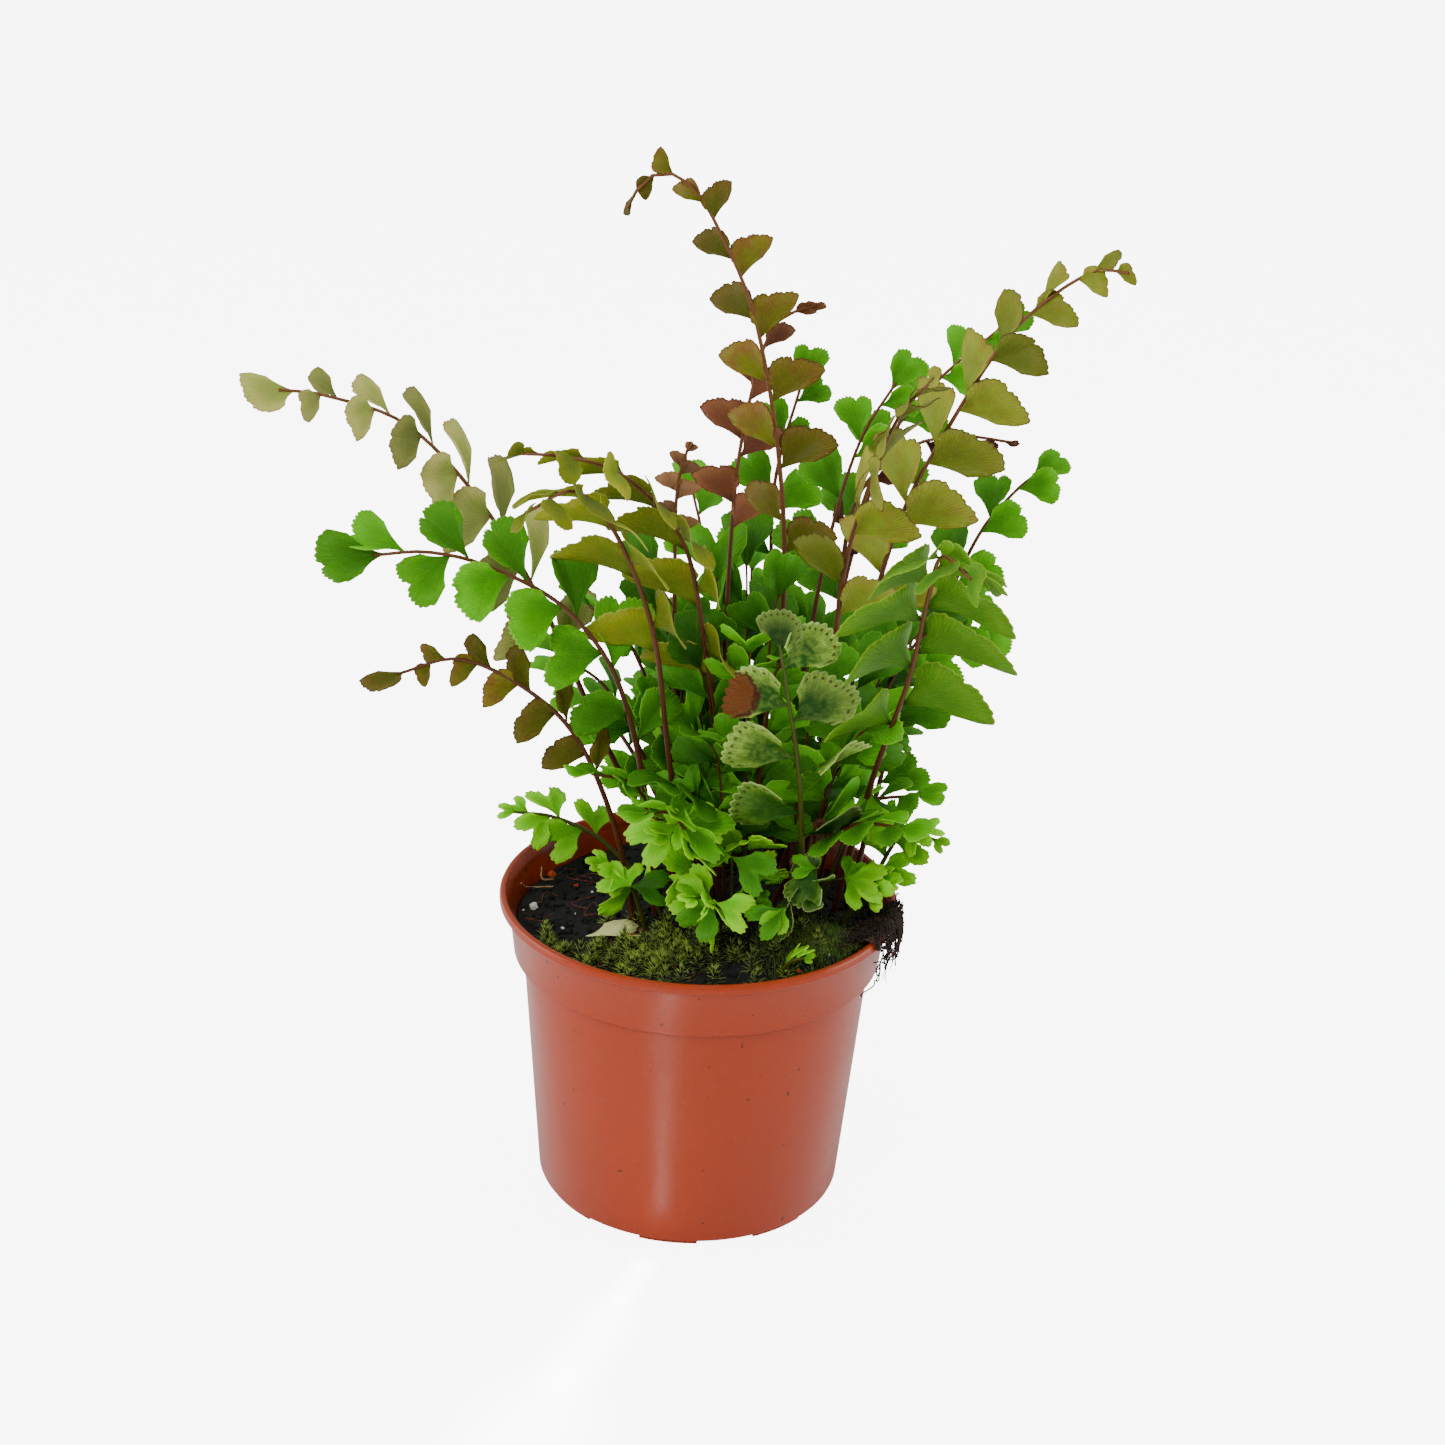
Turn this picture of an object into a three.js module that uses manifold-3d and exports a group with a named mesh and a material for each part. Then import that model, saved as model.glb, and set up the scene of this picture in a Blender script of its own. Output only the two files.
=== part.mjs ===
// A potted fern: a clump of wiry, dark stems with fan-shaped leaflets, rooted in soil in a round plastic pot.
// Millimetres, +Z up. The origin is the centre of the pot's underside, and the photographed side faces -Y.
import * as THREE from 'three';
import { mergeVertices } from 'three/addons/utils/BufferGeometryUtils.js';
import Module from 'manifold-3d';

const wasm = await Module();
wasm.setup();

// Pot, driving dimensions
const RIM_RADIUS = 60;
const POT_HEIGHT = 96;
const WALL = 1.4;
const LIP_HEIGHT = 3;
const BAND_HEIGHT = 19;
const BAND_TOP_RADIUS = 57.3;
const BAND_FOOT_RADIUS = 55.5;
const BODY_TOP_RADIUS = 52.7;
const BODY_FOOT_RADIUS = 46.6;
const BASE_RADIUS = 42;
const BASE_RECESS = 1.1;
const FLOOR_HEIGHT = 4.4;
const CORNER = 1; // height of the small slopes at the lip and the foot
const LIP_WIDTH = 2;
const POT_SEGMENTS = 32;

// Feet on the corner of the base, and drain holes through the floor
const FEET = 8;
const FOOT_ANGLE = THREE.MathUtils.degToRad(21);
const FIRST_FOOT = THREE.MathUtils.degToRad(-96);
const FOOT_INSET = 0.5;
const DRAIN_HOLES = 6;
const DRAIN_RADIUS = 3.5;
const DRAIN_CIRCLE = 27;
const DRAIN_SEGMENTS = 6;

// Soil and the crown that the stems rise from
const GAP = 0.35; // the clearance kept between two touching pieces
const SOIL_LEVEL = 86;
const SOIL_EDGE_RADIUS = 54.6;
const ROOT_DEPTH = 9;
const HOLE_RISE = 9; // how far a stem's hole is cut beyond the collar
const SOIL_RINGS = [45, 33, 20, 9]; // radii of the rings that carry the banks
const CRUMBS = { height: 0.7, across: 0.31, along: 0.27 }; // a low wave over the surface
const CROWN = { x: 12, y: 12, spread: 17, height: 8 };
const MOSS_BANK = { x: 36, y: -26, spread: 15, height: 8 };
const FRONT_BANK = { x: -6, y: -44, spread: 13, height: 4 };

// Stems and leaflets
const STEM_FOOT_RADIUS = 1.15;
const STEM_TIP_RADIUS = 0.55;
const STEM_SIDES = 3;
const HOLE_RADIUS = STEM_FOOT_RADIUS + 1.3;
const SPARE_RINGS = 4; // rings of a stem beyond one at each point of its path
const BLADE = 0.7; // leaflet thickness
const SLIVER = 0.2; // corners of a frond this close together are merged
const FLATNESS = 0.02; // and those of the pot and soil

// Degrees that a leaflet turns on its own axis until it is clear
const TURNS = [0, 16, -16, 32, -32, 50, -50];

// Leaflet outlines, root first, in leaflet lengths: x runs outwards from the stem, y towards the frond's tip
const OUTLINES = {
  wing: [[0, 0], [0.55, -0.13], [1, -0.1], [0.88, 0.16], [0.55, 0.44], [0.2, 0.42]],
  fan: [[0, 0], [0.66, -0.34], [1, -0.14], [0.92, 0.32], [0.46, 0.42]],
  lobed: [[0, 0], [0.62, -0.42], [0.92, -0.28], [0.82, 0.02], [0.96, 0.34], [0.5, 0.42]],
};

// How a frond's leaflets are spaced, sized and turned: exponents and degrees
const SPACING = 0.85;
const NARROWING = 1.7;
const FIRST_LEAFLET = 0.82; // the lowest one's length, in longest ones
const TIP_LEAN = 16; // degrees that the leaflets lean further at the tip
const LEAN_SPREAD = 12;
const ROLL_SPREAD = 20;
const END_LEAN = 82;
const END_REACH = 0.98; // where the last leaflet is rooted, just short of the tip

// Leaf kinds: outline, how far the blade arches down over its length, degrees that the leaflets lean to the
// frond's tip, and colour
const KINDS = {
  bronze: { outline: 'wing', arch: 0.2, forward: 32, color: 0x8f8a3c },
  copper: { outline: 'wing', arch: 0.1, forward: 36, color: 0x8a4a2e },
  olive: { outline: 'wing', arch: 0.24, forward: 22, color: 0x8ea04a },
  green: { outline: 'fan', arch: 0.14, forward: 32, color: 0x4f9a22 },
  old: { outline: 'fan', arch: 0.12, forward: 24, color: 0x4c7040 },
  young: { outline: 'lobed', arch: 0.18, forward: 30, color: 0x77b82a },
  dried: { outline: 'fan', arch: 0.5, forward: 30, color: 0x4a231b },
};

// What a frond has where nothing else is said.
// leaflets: their number; first: where along the stem they begin, from 0 to 1; size: the longest leaflet;
// taper: how much shorter they are at the tip; end: the last leaflet's size, in longest ones;
// face: where the upper side looks; lift and tilt: degrees that a leaflet rises and turns on its own axis.
const PLAIN = { kind: 'green', first: 0.42, taper: 0.74, end: 0.4, lift: 0, tilt: 0 };

// The fronds that the photograph shows. Each path runs from the root, whose height is the soil's, to the tip.
const FRONDS = [
  {
    name: 'frond_tall', kind: 'bronze', leaflets: 14, first: 0.46, size: 18,
    face: [-0.3, -1, 0.3], lift: -14, tilt: -6,
    path: [[22, 17], [21, 13, 140], [20, 8, 210], [10, -2, 270], [-4, -6, 303], [-13, -8, 314],
      [-22, -10, 314], [-27, -12, 306]],
  },
  {
    name: 'frond_copper', kind: 'copper', leaflets: 9, first: 0.6, size: 17,
    face: [0.3, -1, 0.2], lift: -8, tilt: 0,
    path: [[7, 22], [5, 27, 140], [5, 32, 196], [7, 35, 228], [13, 36, 258], [20, 33, 267],
      [26, 30, 270]],
  },
  {
    name: 'frond_right', kind: 'bronze', leaflets: 14, first: 0.42, size: 23, end: 0.3,
    face: [-0.1, -0.8, 0.85], lift: -10,
    path: [[30, 17], [42, 24, 150], [53, 20, 206], [64, 12, 238], [80, 0, 273], [98, -10, 293],
      [108, -19, 296]],
  },
  {
    name: 'frond_inner', kind: 'bronze', leaflets: 10, first: 0.5, size: 20,
    face: [0, -0.6, 1], lift: -8, tilt: 6,
    path: [[34, 9], [35, -2, 150], [37, -12, 203], [41, -22, 230], [47, -44, 260], [54, -68, 279]],
  },
  {
    name: 'frond_front', kind: 'olive', leaflets: 12, first: 0.42, size: 29,
    face: [0, 0.1, 1], lift: -12, tilt: 12,
    path: [[41, 2], [49, -12, 140], [56, -34, 182], [58, -54, 214], [59, -76, 234], [64, -108, 240]],
  },
  {
    name: 'frond_mid_left', kind: 'olive', leaflets: 13, first: 0.4, size: 24,
    face: [0.2, 0.1, 1], lift: -8, tilt: 10,
    path: [[4, 9], [3, 0, 148], [-1, -11, 178], [-8, -24, 215], [-23, -44, 240], [-37, -60, 251],
      [-52, -73, 256]],
  },
  {
    name: 'frond_near_left', kind: 'olive', leaflets: 10, first: 0.48, size: 24,
    face: [0.2, 0.2, 1], lift: -8, tilt: 10,
    path: [[-4, 4], [-11, -13, 150], [-16, -26, 190], [-26, -44, 224], [-36, -72, 246],
      [-47, -98, 249]],
  },
  {
    name: 'frond_left_arch', kind: 'olive', leaflets: 14, first: 0.42, size: 19, end: 0.6,
    face: [0.1, -0.6, 1], lift: 4, tilt: 6,
    path: [[-8, 23], [-30, 18, 135], [-48, 5, 182], [-65, -10, 219], [-84, -27, 247], [-104, -41, 259],
      [-116, -47, 262]],
  },
  {
    name: 'frond_green_left', leaflets: 11, first: 0.38, size: 22, taper: 0.3, end: 0.85,
    face: [0.25, -0.9, 0.9],
    path: [[-13, -2], [-16, -6, 124], [-25, -20, 170], [-40, -33, 198], [-60, -45, 214],
      [-76, -54, 221], [-90, -61, 222]],
  },
  {
    name: 'frond_small_left', kind: 'bronze', leaflets: 10, first: 0.44, size: 13, end: 0.8,
    face: [0.2, -0.9, 0.9], lift: -6,
    path: [[-19, -7], [-25, -12, 120], [-36, -24, 154], [-50, -35, 174], [-68, -48, 188],
      [-84, -58, 187]],
  },
  {
    name: 'frond_old', kind: 'old', leaflets: 7, first: 0.36, size: 20, taper: 0.3, end: 0.6,
    face: [0, -1, 0.3], lift: 4,
    path: [[31, -8], [29, -22, 128], [26, -36, 158], [22, -47, 181], [19, -54, 199]],
  },
  {
    name: 'frond_rear_right', leaflets: 9, size: 18, taper: 0.3, end: 0.7,
    face: [-0.3, -0.8, 0.9],
    path: [[41, 25], [56, 38, 132], [70, 49, 168], [81, 55, 194], [91, 58, 207], [98, 60, 213]],
  },
  {
    name: 'frond_rear_top', leaflets: 11, size: 19, taper: 0.5, end: 0.7,
    face: [-0.3, -1, 0.6],
    path: [[26, 34], [34, 52, 130], [43, 68, 180], [53, 75, 216], [66, 71, 237], [84, 62, 258]],
  },
  {
    name: 'frond_rear_mid', leaflets: 9, first: 0.46, size: 19, taper: 0.5, end: 0.7,
    face: [0.1, -1, 0.4],
    path: [[14, 35], [17, 50, 130], [18, 60, 170], [18, 65, 205], [25, 66, 238]],
  },
  {
    name: 'frond_rear_inner', leaflets: 9, first: 0.44, size: 20, taper: 0.5, end: 0.7,
    face: [-0.1, -0.9, 0.6],
    path: [[22, 26], [28, 37, 140], [34, 46, 188], [42, 50, 222], [52, 48, 243]],
  },
  {
    name: 'fiddlehead', kind: 'copper', leaflets: 7, first: 0.82, size: 9,
    face: [0, -1, 0.3], lift: 8,
    path: [[-3, 14], [-9, 8, 150], [-11, 5, 200], [-11, 5, 222], [-8, 4, 236]],
  },
  {
    name: 'frond_dried', kind: 'dried', leaflets: 7, first: 0.6, size: 11,
    face: [0, -0.6, 1], lift: -20, tilt: 30,
    path: [[35, 20], [38, 36, 140], [41, 48, 200], [56, 50, 221], [72, 48, 227], [88, 41, 228]],
  },
  {
    name: 'frond_low_right', leaflets: 7, first: 0.46, size: 19, taper: 0.3, end: 0.8,
    face: [-0.2, -0.5, 1], tilt: 10,
    path: [[46, 12], [53, 17, 125], [58, 20, 152], [67, 20, 170], [77, 19, 174]],
  },
];

// Short fronds low in the clump, with their leaves near the soil
const JUVENILES = [
  {
    name: 'young_right', leaflets: 6, size: 13,
    face: [0, -0.8, 1],
    path: [[49, 5], [55, 1, 108], [61, -4, 121], [69, -10, 121]],
  },
  {
    name: 'young_left', leaflets: 5, size: 15,
    face: [0, -0.5, 1],
    path: [[-20, 24], [-32, 27, 99], [-46, 28, 105], [-58, 26, 107]],
  },
  {
    name: 'young_front_high', leaflets: 5, size: 18,
    face: [0, -0.5, 1],
    path: [[0, -8], [-2, -16, 112], [-5, -24, 124], [-10, -30, 128]],
  },
  {
    name: 'young_front_low', leaflets: 5, size: 15,
    face: [0, -0.5, 1],
    path: [[6, -22], [4, -28, 102], [2, -34, 111], [-1, -39, 113]],
  },
  {
    name: 'young_front_left', leaflets: 5, size: 13,
    face: [0, -0.5, 1],
    path: [[-16, -8], [-20, -11, 102], [-25, -15, 110], [-29, -18, 112]],
  },
  {
    name: 'young_front_right', kind: 'old', leaflets: 4, size: 14,
    face: [0, -0.5, 1],
    path: [[24, -14], [27, -20, 104], [30, -26, 111], [32, -31, 111]],
  },
  {
    name: 'young_crown', leaflets: 5, size: 15,
    face: [0, -0.5, 1],
    path: [[13, -4], [13, -10, 108], [13, -16, 119], [14, -22, 124]],
  },
  {
    name: 'young_centre', kind: 'green', leaflets: 4, size: 14,
    face: [0, -0.5, 1],
    path: [[15, -13], [16, -17, 102], [17, -22, 110], [18, -27, 111]],
  },
  {
    name: 'young_rim', leaflets: 4, size: 12,
    face: [0, -0.5, 1],
    path: [[44, -6], [47, -7, 98], [51, -9, 104], [56, -12, 107]],
  },
  {
    name: 'young_low', leaflets: 4, size: 9,
    face: [0, -0.5, 1],
    path: [[24, -40], [26, -42, 94], [28, -44, 97], [31, -46, 99]],
  },
];

// A tuft of bare roots that hangs over the rim from a crumb of soil, and a fallen leaf on the soil
const TUFT = { angle: THREE.MathUtils.degToRad(-17), radius: 51.5, crumb: 4, rise: 2.6, hang: 9, drop: 18 };
const STRAND_SPREAD = THREE.MathUtils.degToRad(4);
const ROOT_STRANDS = 6;
const ROOT_RADIUS = 0.5;
const FALLEN_LEAF = { x: -33, y: -17, length: 15, turn: THREE.MathUtils.degToRad(12), rise: 1.2 };
const SETTLING_STEPS = 12; // how often a loose piece is lowered towards what carries it
const SETTLING_REACH = 10; // the widest gap that is measured under it

// Shorter green fronds all round the clump, set by a rule
const FILLERS = 14;
const FILLER_START = 0.65;
const FILLER_RING = 18;
const LOW_FILLER = { length: 62, rise: 48, size: 15 };
const HIGH_FILLER = { length: 44, rise: 92, size: 16 };
const FILLER_PATH = [[0.2, 0.45], [0.5, 0.85], [0.8, 1]]; // shares of the length outwards and of the rise
const FILLER_LEAVES = { leaflets: 7, first: 0.4, taper: 0.4, end: 0.8 };
const GOLDEN_ANGLE = Math.PI * (3 - Math.sqrt(5));

// A repeatable draw from 0 to 1 for a piece and a purpose.
function draw(piece, purpose) {
  const wave = Math.sin(piece * 12.9898 + purpose * 78.233) * 43758.5453;
  return wave - Math.floor(wave);
}

// The height of a soil bank at a place.
function bank(x, y, { x: cx, y: cy, spread, height }) {
  const squared = (x - cx) ** 2 + (y - cy) ** 2;
  return height * Math.exp(-squared / (2 * spread * spread));
}

function soilHeight(x, y) {
  const crumbs = CRUMBS.height * Math.sin(x * CRUMBS.across + 1.2) * Math.cos(y * CRUMBS.along);
  return SOIL_LEVEL + bank(x, y, CROWN) + bank(x, y, MOSS_BANK) + bank(x, y, FRONT_BANK) + crumbs;
}

// A closed geometry as a solid that can be joined and cut.
function solid(geometry) {
  const bare = geometry.clone();
  bare.deleteAttribute('normal');
  bare.deleteAttribute('uv');
  const merged = mergeVertices(bare, 1e-4);
  return new wasm.Manifold(new wasm.Mesh({
    numProp: 3,
    vertProperties: new Float32Array(merged.attributes.position.array),
    triVerts: new Uint32Array(merged.index.array),
  }));
}

function meshOf(name, made, color, roughness) {
  const { vertProperties, triVerts } = made.getMesh();
  const geometry = new THREE.BufferGeometry();
  geometry.setAttribute('position', new THREE.BufferAttribute(new Float32Array(vertProperties), 3));
  geometry.setIndex(new THREE.BufferAttribute(new Uint32Array(triVerts), 1));
  geometry.computeVertexNormals();
  const mesh = new THREE.Mesh(geometry, new THREE.MeshStandardMaterial({ color, roughness, metalness: 0 }));
  mesh.name = name;
  return mesh;
}

// A solid turned from a closed profile of [radius, height] pairs.
function turned(profile, segments) {
  const points = profile.map(([radius, height]) => new THREE.Vector2(radius, height));
  return new THREE.LatheGeometry(points, segments).rotateX(Math.PI / 2);
}

function makePot() {
  const bandFoot = POT_HEIGHT - BAND_HEIGHT;
  const lipFoot = POT_HEIGHT - LIP_HEIGHT;
  let pot = solid(turned([
    [0, 0],
    [BASE_RADIUS, 0],
    [BASE_RADIUS + CORNER / 2, BASE_RECESS],
    [BODY_FOOT_RADIUS - CORNER, BASE_RECESS],
    [BODY_FOOT_RADIUS, BASE_RECESS + CORNER],
    [BODY_TOP_RADIUS, bandFoot],
    [BAND_FOOT_RADIUS, bandFoot],
    [BAND_TOP_RADIUS, lipFoot],
    [RIM_RADIUS, lipFoot],
    [RIM_RADIUS, POT_HEIGHT - CORNER],
    [RIM_RADIUS - CORNER, POT_HEIGHT],
    [RIM_RADIUS - LIP_WIDTH, POT_HEIGHT],
    [BAND_TOP_RADIUS - WALL, lipFoot - CORNER],
    [BAND_FOOT_RADIUS - WALL, bandFoot + WALL],
    [BODY_TOP_RADIUS - WALL, bandFoot - WALL],
    [BODY_FOOT_RADIUS - WALL, FLOOR_HEIGHT],
    [0, FLOOR_HEIGHT],
  ], POT_SEGMENTS));
  for (let i = 0; i < FEET; i += 1) {
    const start = FIRST_FOOT + (i * 2 * Math.PI) / FEET - FOOT_ANGLE / 2;
    const end = start + FOOT_ANGLE;
    const sector = new THREE.Shape();
    sector.absarc(0, 0, BODY_FOOT_RADIUS - FOOT_INSET, start, end, false);
    sector.absarc(0, 0, BASE_RADIUS - CORNER, end, start, true);
    const depth = BASE_RECESS + CORNER / 2;
    const foot = new THREE.ExtrudeGeometry(sector, { depth, bevelEnabled: false, curveSegments: 2 });
    pot = pot.add(solid(foot));
  }
  for (let i = 0; i < DRAIN_HOLES; i += 1) {
    const angle = (i * 2 * Math.PI) / DRAIN_HOLES;
    const hole = new THREE.CylinderGeometry(DRAIN_RADIUS, DRAIN_RADIUS, 4 * FLOOR_HEIGHT, DRAIN_SEGMENTS);
    hole.rotateX(Math.PI / 2).translate(DRAIN_CIRCLE * Math.cos(angle), DRAIN_CIRCLE * Math.sin(angle), 0);
    pot = pot.subtract(solid(hole));
  }
  return pot.asOriginal().simplify(FLATNESS);
}

function makeSoil(holes) {
  const bandFoot = POT_HEIGHT - BAND_HEIGHT;
  const inside = WALL + GAP;
  const geometry = turned([
    [0, FLOOR_HEIGHT + GAP],
    [BODY_FOOT_RADIUS - inside, FLOOR_HEIGHT + GAP],
    [BODY_TOP_RADIUS - inside, bandFoot - WALL + GAP / 2],
    [BAND_FOOT_RADIUS - inside, bandFoot + WALL + GAP / 2],
    [SOIL_EDGE_RADIUS, SOIL_LEVEL],
    ...SOIL_RINGS.map((radius) => [radius, SOIL_LEVEL]),
    [0, SOIL_LEVEL],
  ], POT_SEGMENTS / 2);
  const position = geometry.attributes.position;
  for (let i = 0; i < position.count; i += 1) {
    const onTop = position.getZ(i) > SOIL_LEVEL - 0.01;
    if (onTop) position.setZ(i, soilHeight(position.getX(i), position.getY(i)));
  }
  return solid(geometry).subtract(wasm.Manifold.union(holes)).asOriginal().simplify(FLATNESS);
}

// The curve of a stem: its path, begun under the soil.
function stemCurve(path) {
  const [[rootX, rootY], ...rest] = path;
  const surface = soilHeight(rootX, rootY);
  const root = new THREE.Vector3(rootX, rootY, surface - ROOT_DEPTH);
  const collar = new THREE.Vector3(rootX, rootY, surface);
  const points = [root, collar, ...rest.map(([x, y, z]) => new THREE.Vector3(x, y, z))];
  return new THREE.CatmullRomCurve3(points, false, 'catmullrom', 0.5);
}

// Point and axes on a stem that runs straight from ring to ring: along it, out of its upper side, across it.
function stemFrame({ curve, face, rings }, share) {
  const place = THREE.MathUtils.clamp(share, 0, 1) * rings;
  const ring = Math.min(Math.floor(place), rings - 1);
  const point = curve.getPointAt(ring / rings).lerp(curve.getPointAt((ring + 1) / rings), place - ring);
  const along = curve.getTangentAt(place / rings);
  const upper = face.clone().addScaledVector(along, -face.dot(along)).normalize();
  const across = new THREE.Vector3().crossVectors(along, upper);
  return { point, along, upper, across };
}

// A tapered rod bent along a stem's curve, over its first few rings or all of them, its foot set back.
function rod(line, rings, footRadius, tipRadius, back = 0) {
  const geometry = new THREE.CylinderGeometry(tipRadius, footRadius, 1, STEM_SIDES, rings);
  const position = geometry.attributes.position;
  for (let i = 0; i < position.count; i += 1) {
    const { point, along, upper, across } = stemFrame(line, (rings / line.rings) * (position.getY(i) + 0.5));
    if (position.getY(i) < -0.49) point.addScaledVector(along, -back);
    point.addScaledVector(across, position.getX(i)).addScaledVector(upper, position.getZ(i));
    position.setXYZ(i, point.x, point.y, point.z);
  }
  return solid(geometry);
}

// One leaflet: its outline cut from a thin sheet, arched, and set on the stem.
function leaflet({ line, kind, lift }, { reach, side, length, forward, roll }, turn) {
  const { point, along, upper, across } = stemFrame(line, reach);
  const { outline, arch } = KINDS[kind];
  const lean = THREE.MathUtils.degToRad(forward);
  const out = across.clone().multiplyScalar(side * Math.cos(lean)).addScaledVector(along, Math.sin(lean));
  const hinge = new THREE.Vector3().crossVectors(out, upper).normalize();
  out.applyAxisAngle(hinge, THREE.MathUtils.degToRad(lift));
  const tipward = along.clone().addScaledVector(out, -along.dot(out)).normalize();
  if (tipward.dot(along) < 0) tipward.negate();
  tipward.applyAxisAngle(out, side * THREE.MathUtils.degToRad(roll + turn));
  const second = tipward.clone().multiplyScalar(side);
  const normal = new THREE.Vector3().crossVectors(out, second);
  const corners = OUTLINES[outline].map(([x, y]) => new THREE.Vector2(x * length, y * length * side));
  const shape = new THREE.Shape(corners);
  const geometry = new THREE.ExtrudeGeometry(shape, { depth: BLADE, bevelEnabled: false });
  const position = geometry.attributes.position;
  for (let i = 0; i < position.count; i += 1) {
    const distance = position.getX(i) / length;
    position.setZ(i, position.getZ(i) - BLADE / 2 - arch * length * distance * distance);
  }
  geometry.applyMatrix4(new THREE.Matrix4().makeBasis(out, second, normal).setPosition(point));
  return solid(geometry);
}

// A loose piece, made by a function of how far it has sunk, that lies the clearance above what carries it.
function settled(make, carriers) {
  let sunk = 0;
  for (let i = 0; i < SETTLING_STEPS; i += 1) {
    const made = make(sunk);
    const nearest = Math.min(...carriers.map((carrier) => made.minGap(carrier, SETTLING_REACH)));
    sunk += nearest - GAP;
  }
  return make(sunk);
}

// The tuft: strands that rise out of the crumb, cross the lip and hang beside the pot.
function makeTuft(sunk) {
  const { angle, radius, crumb, rise, hang, drop } = TUFT;
  const middle = [radius * Math.cos(angle), radius * Math.sin(angle)];
  const height = soilHeight(...middle) + crumb + 2 * GAP - sunk;
  const ball = new THREE.SphereGeometry(crumb, 6, 4).rotateX(Math.PI / 2).translate(...middle, height);
  const pieces = [solid(ball)];
  for (let k = 0; k < ROOT_STRANDS; k += 1) {
    const turn = angle + STRAND_SPREAD * (k - (ROOT_STRANDS - 1) / 2);
    const at = (r, z) => new THREE.Vector3(r * Math.cos(turn), r * Math.sin(turn), z - sunk);
    const outside = RIM_RADIUS + LIP_WIDTH + 0.8 * draw(k, 7);
    const curve = new THREE.CatmullRomCurve3([
      new THREE.Vector3(...middle, height),
      at(RIM_RADIUS - LIP_WIDTH, POT_HEIGHT + rise),
      at(outside, POT_HEIGHT + rise / 3),
      at(outside, POT_HEIGHT - hang / 2),
      at(outside + 0.5 - draw(k, 8), POT_HEIGHT - hang - drop * draw(k, 9)),
    ], false, 'catmullrom', 0.5);
    const line = { curve, rings: 6, face: new THREE.Vector3(-Math.sin(turn), Math.cos(turn), 0) };
    pieces.push(rod(line, line.rings, ROOT_RADIUS, ROOT_RADIUS));
  }
  return wasm.Manifold.union(pieces);
}

function makeFallenLeaf(sunk) {
  const { x, y, length, turn, rise } = FALLEN_LEAF;
  const shape = new THREE.Shape(OUTLINES.lobed.map(([u, v]) => new THREE.Vector2(u * length, v * length)));
  const geometry = new THREE.ExtrudeGeometry(shape, { depth: BLADE, bevelEnabled: false });
  geometry.rotateZ(turn).translate(x, y, soilHeight(x, y) + rise - sunk);
  return solid(geometry);
}

// Where the leaflets stand on a frond, in pairs a little apart, how large they are, how they lean and turn.
function leafletPlan({ kind, leaflets, first, size, taper, end, tilt }, piece) {
  const plan = [];
  for (let i = 0; i < leaflets; i += 1) {
    const share = (2 * Math.floor(i / 2) + 0.6 * (i % 2)) / leaflets;
    plan.push({
      reach: first + (1 - first) * share ** SPACING,
      side: i % 2 ? -1 : 1,
      length: size * Math.min(1, FIRST_LEAFLET + share) * (1 - taper * share ** NARROWING),
      forward: KINDS[kind].forward + TIP_LEAN * share + LEAN_SPREAD * (draw(piece, i) - 0.5),
      roll: tilt + ROLL_SPREAD * (draw(i, piece) - 0.5),
    });
  }
  plan.push({ reach: END_REACH, side: 1, length: size * end, forward: END_LEAN, roll: tilt });
  return plan;
}

function boxesMeet(a, b) {
  return [0, 1, 2].every((i) => a.min[i] < b.max[i] + GAP && b.min[i] < a.max[i] + GAP);
}

function clearOf(made, others) {
  const box = made.boundingBox();
  return others.every((other) => !boxesMeet(box, other.box) || made.minGap(other.solid, GAP) >= GAP);
}

function withBox(made) {
  return { solid: made, box: made.boundingBox() };
}

// The rule for the shorter fronds: roots in a ring round the crown, by turns leaning out and standing high.
function fillerFrond(i) {
  const angle = i * GOLDEN_ANGLE + FILLER_START;
  const form = i % 2 ? HIGH_FILLER : LOW_FILLER;
  const length = form.length * (0.8 + 0.4 * draw(i, 1));
  const rise = form.rise * (0.75 + 0.5 * draw(i, 2));
  const ring = FILLER_RING * (0.7 + 0.6 * draw(i, 3));
  const place = (distance) => [CROWN.x + distance * Math.cos(angle), CROWN.y + distance * Math.sin(angle)];
  const [rootX, rootY] = place(ring);
  const floor = soilHeight(rootX, rootY);
  return {
    name: `frond_filler_${String(i + 1).padStart(2, '0')}`,
    ...FILLER_LEAVES,
    size: form.size * (0.85 + 0.3 * draw(i, 4)),
    face: [-0.6 * Math.cos(angle), -0.6 * Math.sin(angle) - 0.3, 1],
    tilt: 6,
    path: [
      [rootX, rootY],
      ...FILLER_PATH.map(([outwards, up]) => [...place(ring + outwards * length), floor + up * rise]),
    ],
  };
}

const juvenileFronds = JUVENILES.map((young) => ({ kind: 'young', first: 0.5, ...young }));
const fillerFronds = Array.from({ length: FILLERS }, (_, i) => fillerFrond(i));
const fronds = [...FRONDS, ...juvenileFronds, ...fillerFronds].map((given) => {
  const frond = { ...PLAIN, ...given };
  const curve = stemCurve(frond.path);
  const rings = frond.path.length + SPARE_RINGS;
  const line = { curve, rings, face: new THREE.Vector3(...frond.face).normalize() };
  const sunkRings = Math.ceil(((ROOT_DEPTH + HOLE_RISE) * rings) / curve.getLength());
  const stem = rod(line, rings, STEM_FOOT_RADIUS, STEM_TIP_RADIUS);
  const hole = rod(line, sunkRings, HOLE_RADIUS, HOLE_RADIUS, GAP);
  return { ...frond, line, stem, hole };
});

const pot = makePot();
const soil = makeSoil(fronds.map(({ hole }) => hole));
const tuft = settled(makeTuft, [pot, soil]);
const fallenLeaf = settled(makeFallenLeaf, [pot, soil]);
const stems = fronds.map(({ stem }) => withBox(stem));
const ground = [pot, soil, tuft, fallenLeaf].map(withBox);
const placed = fronds.map(() => []);

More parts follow.
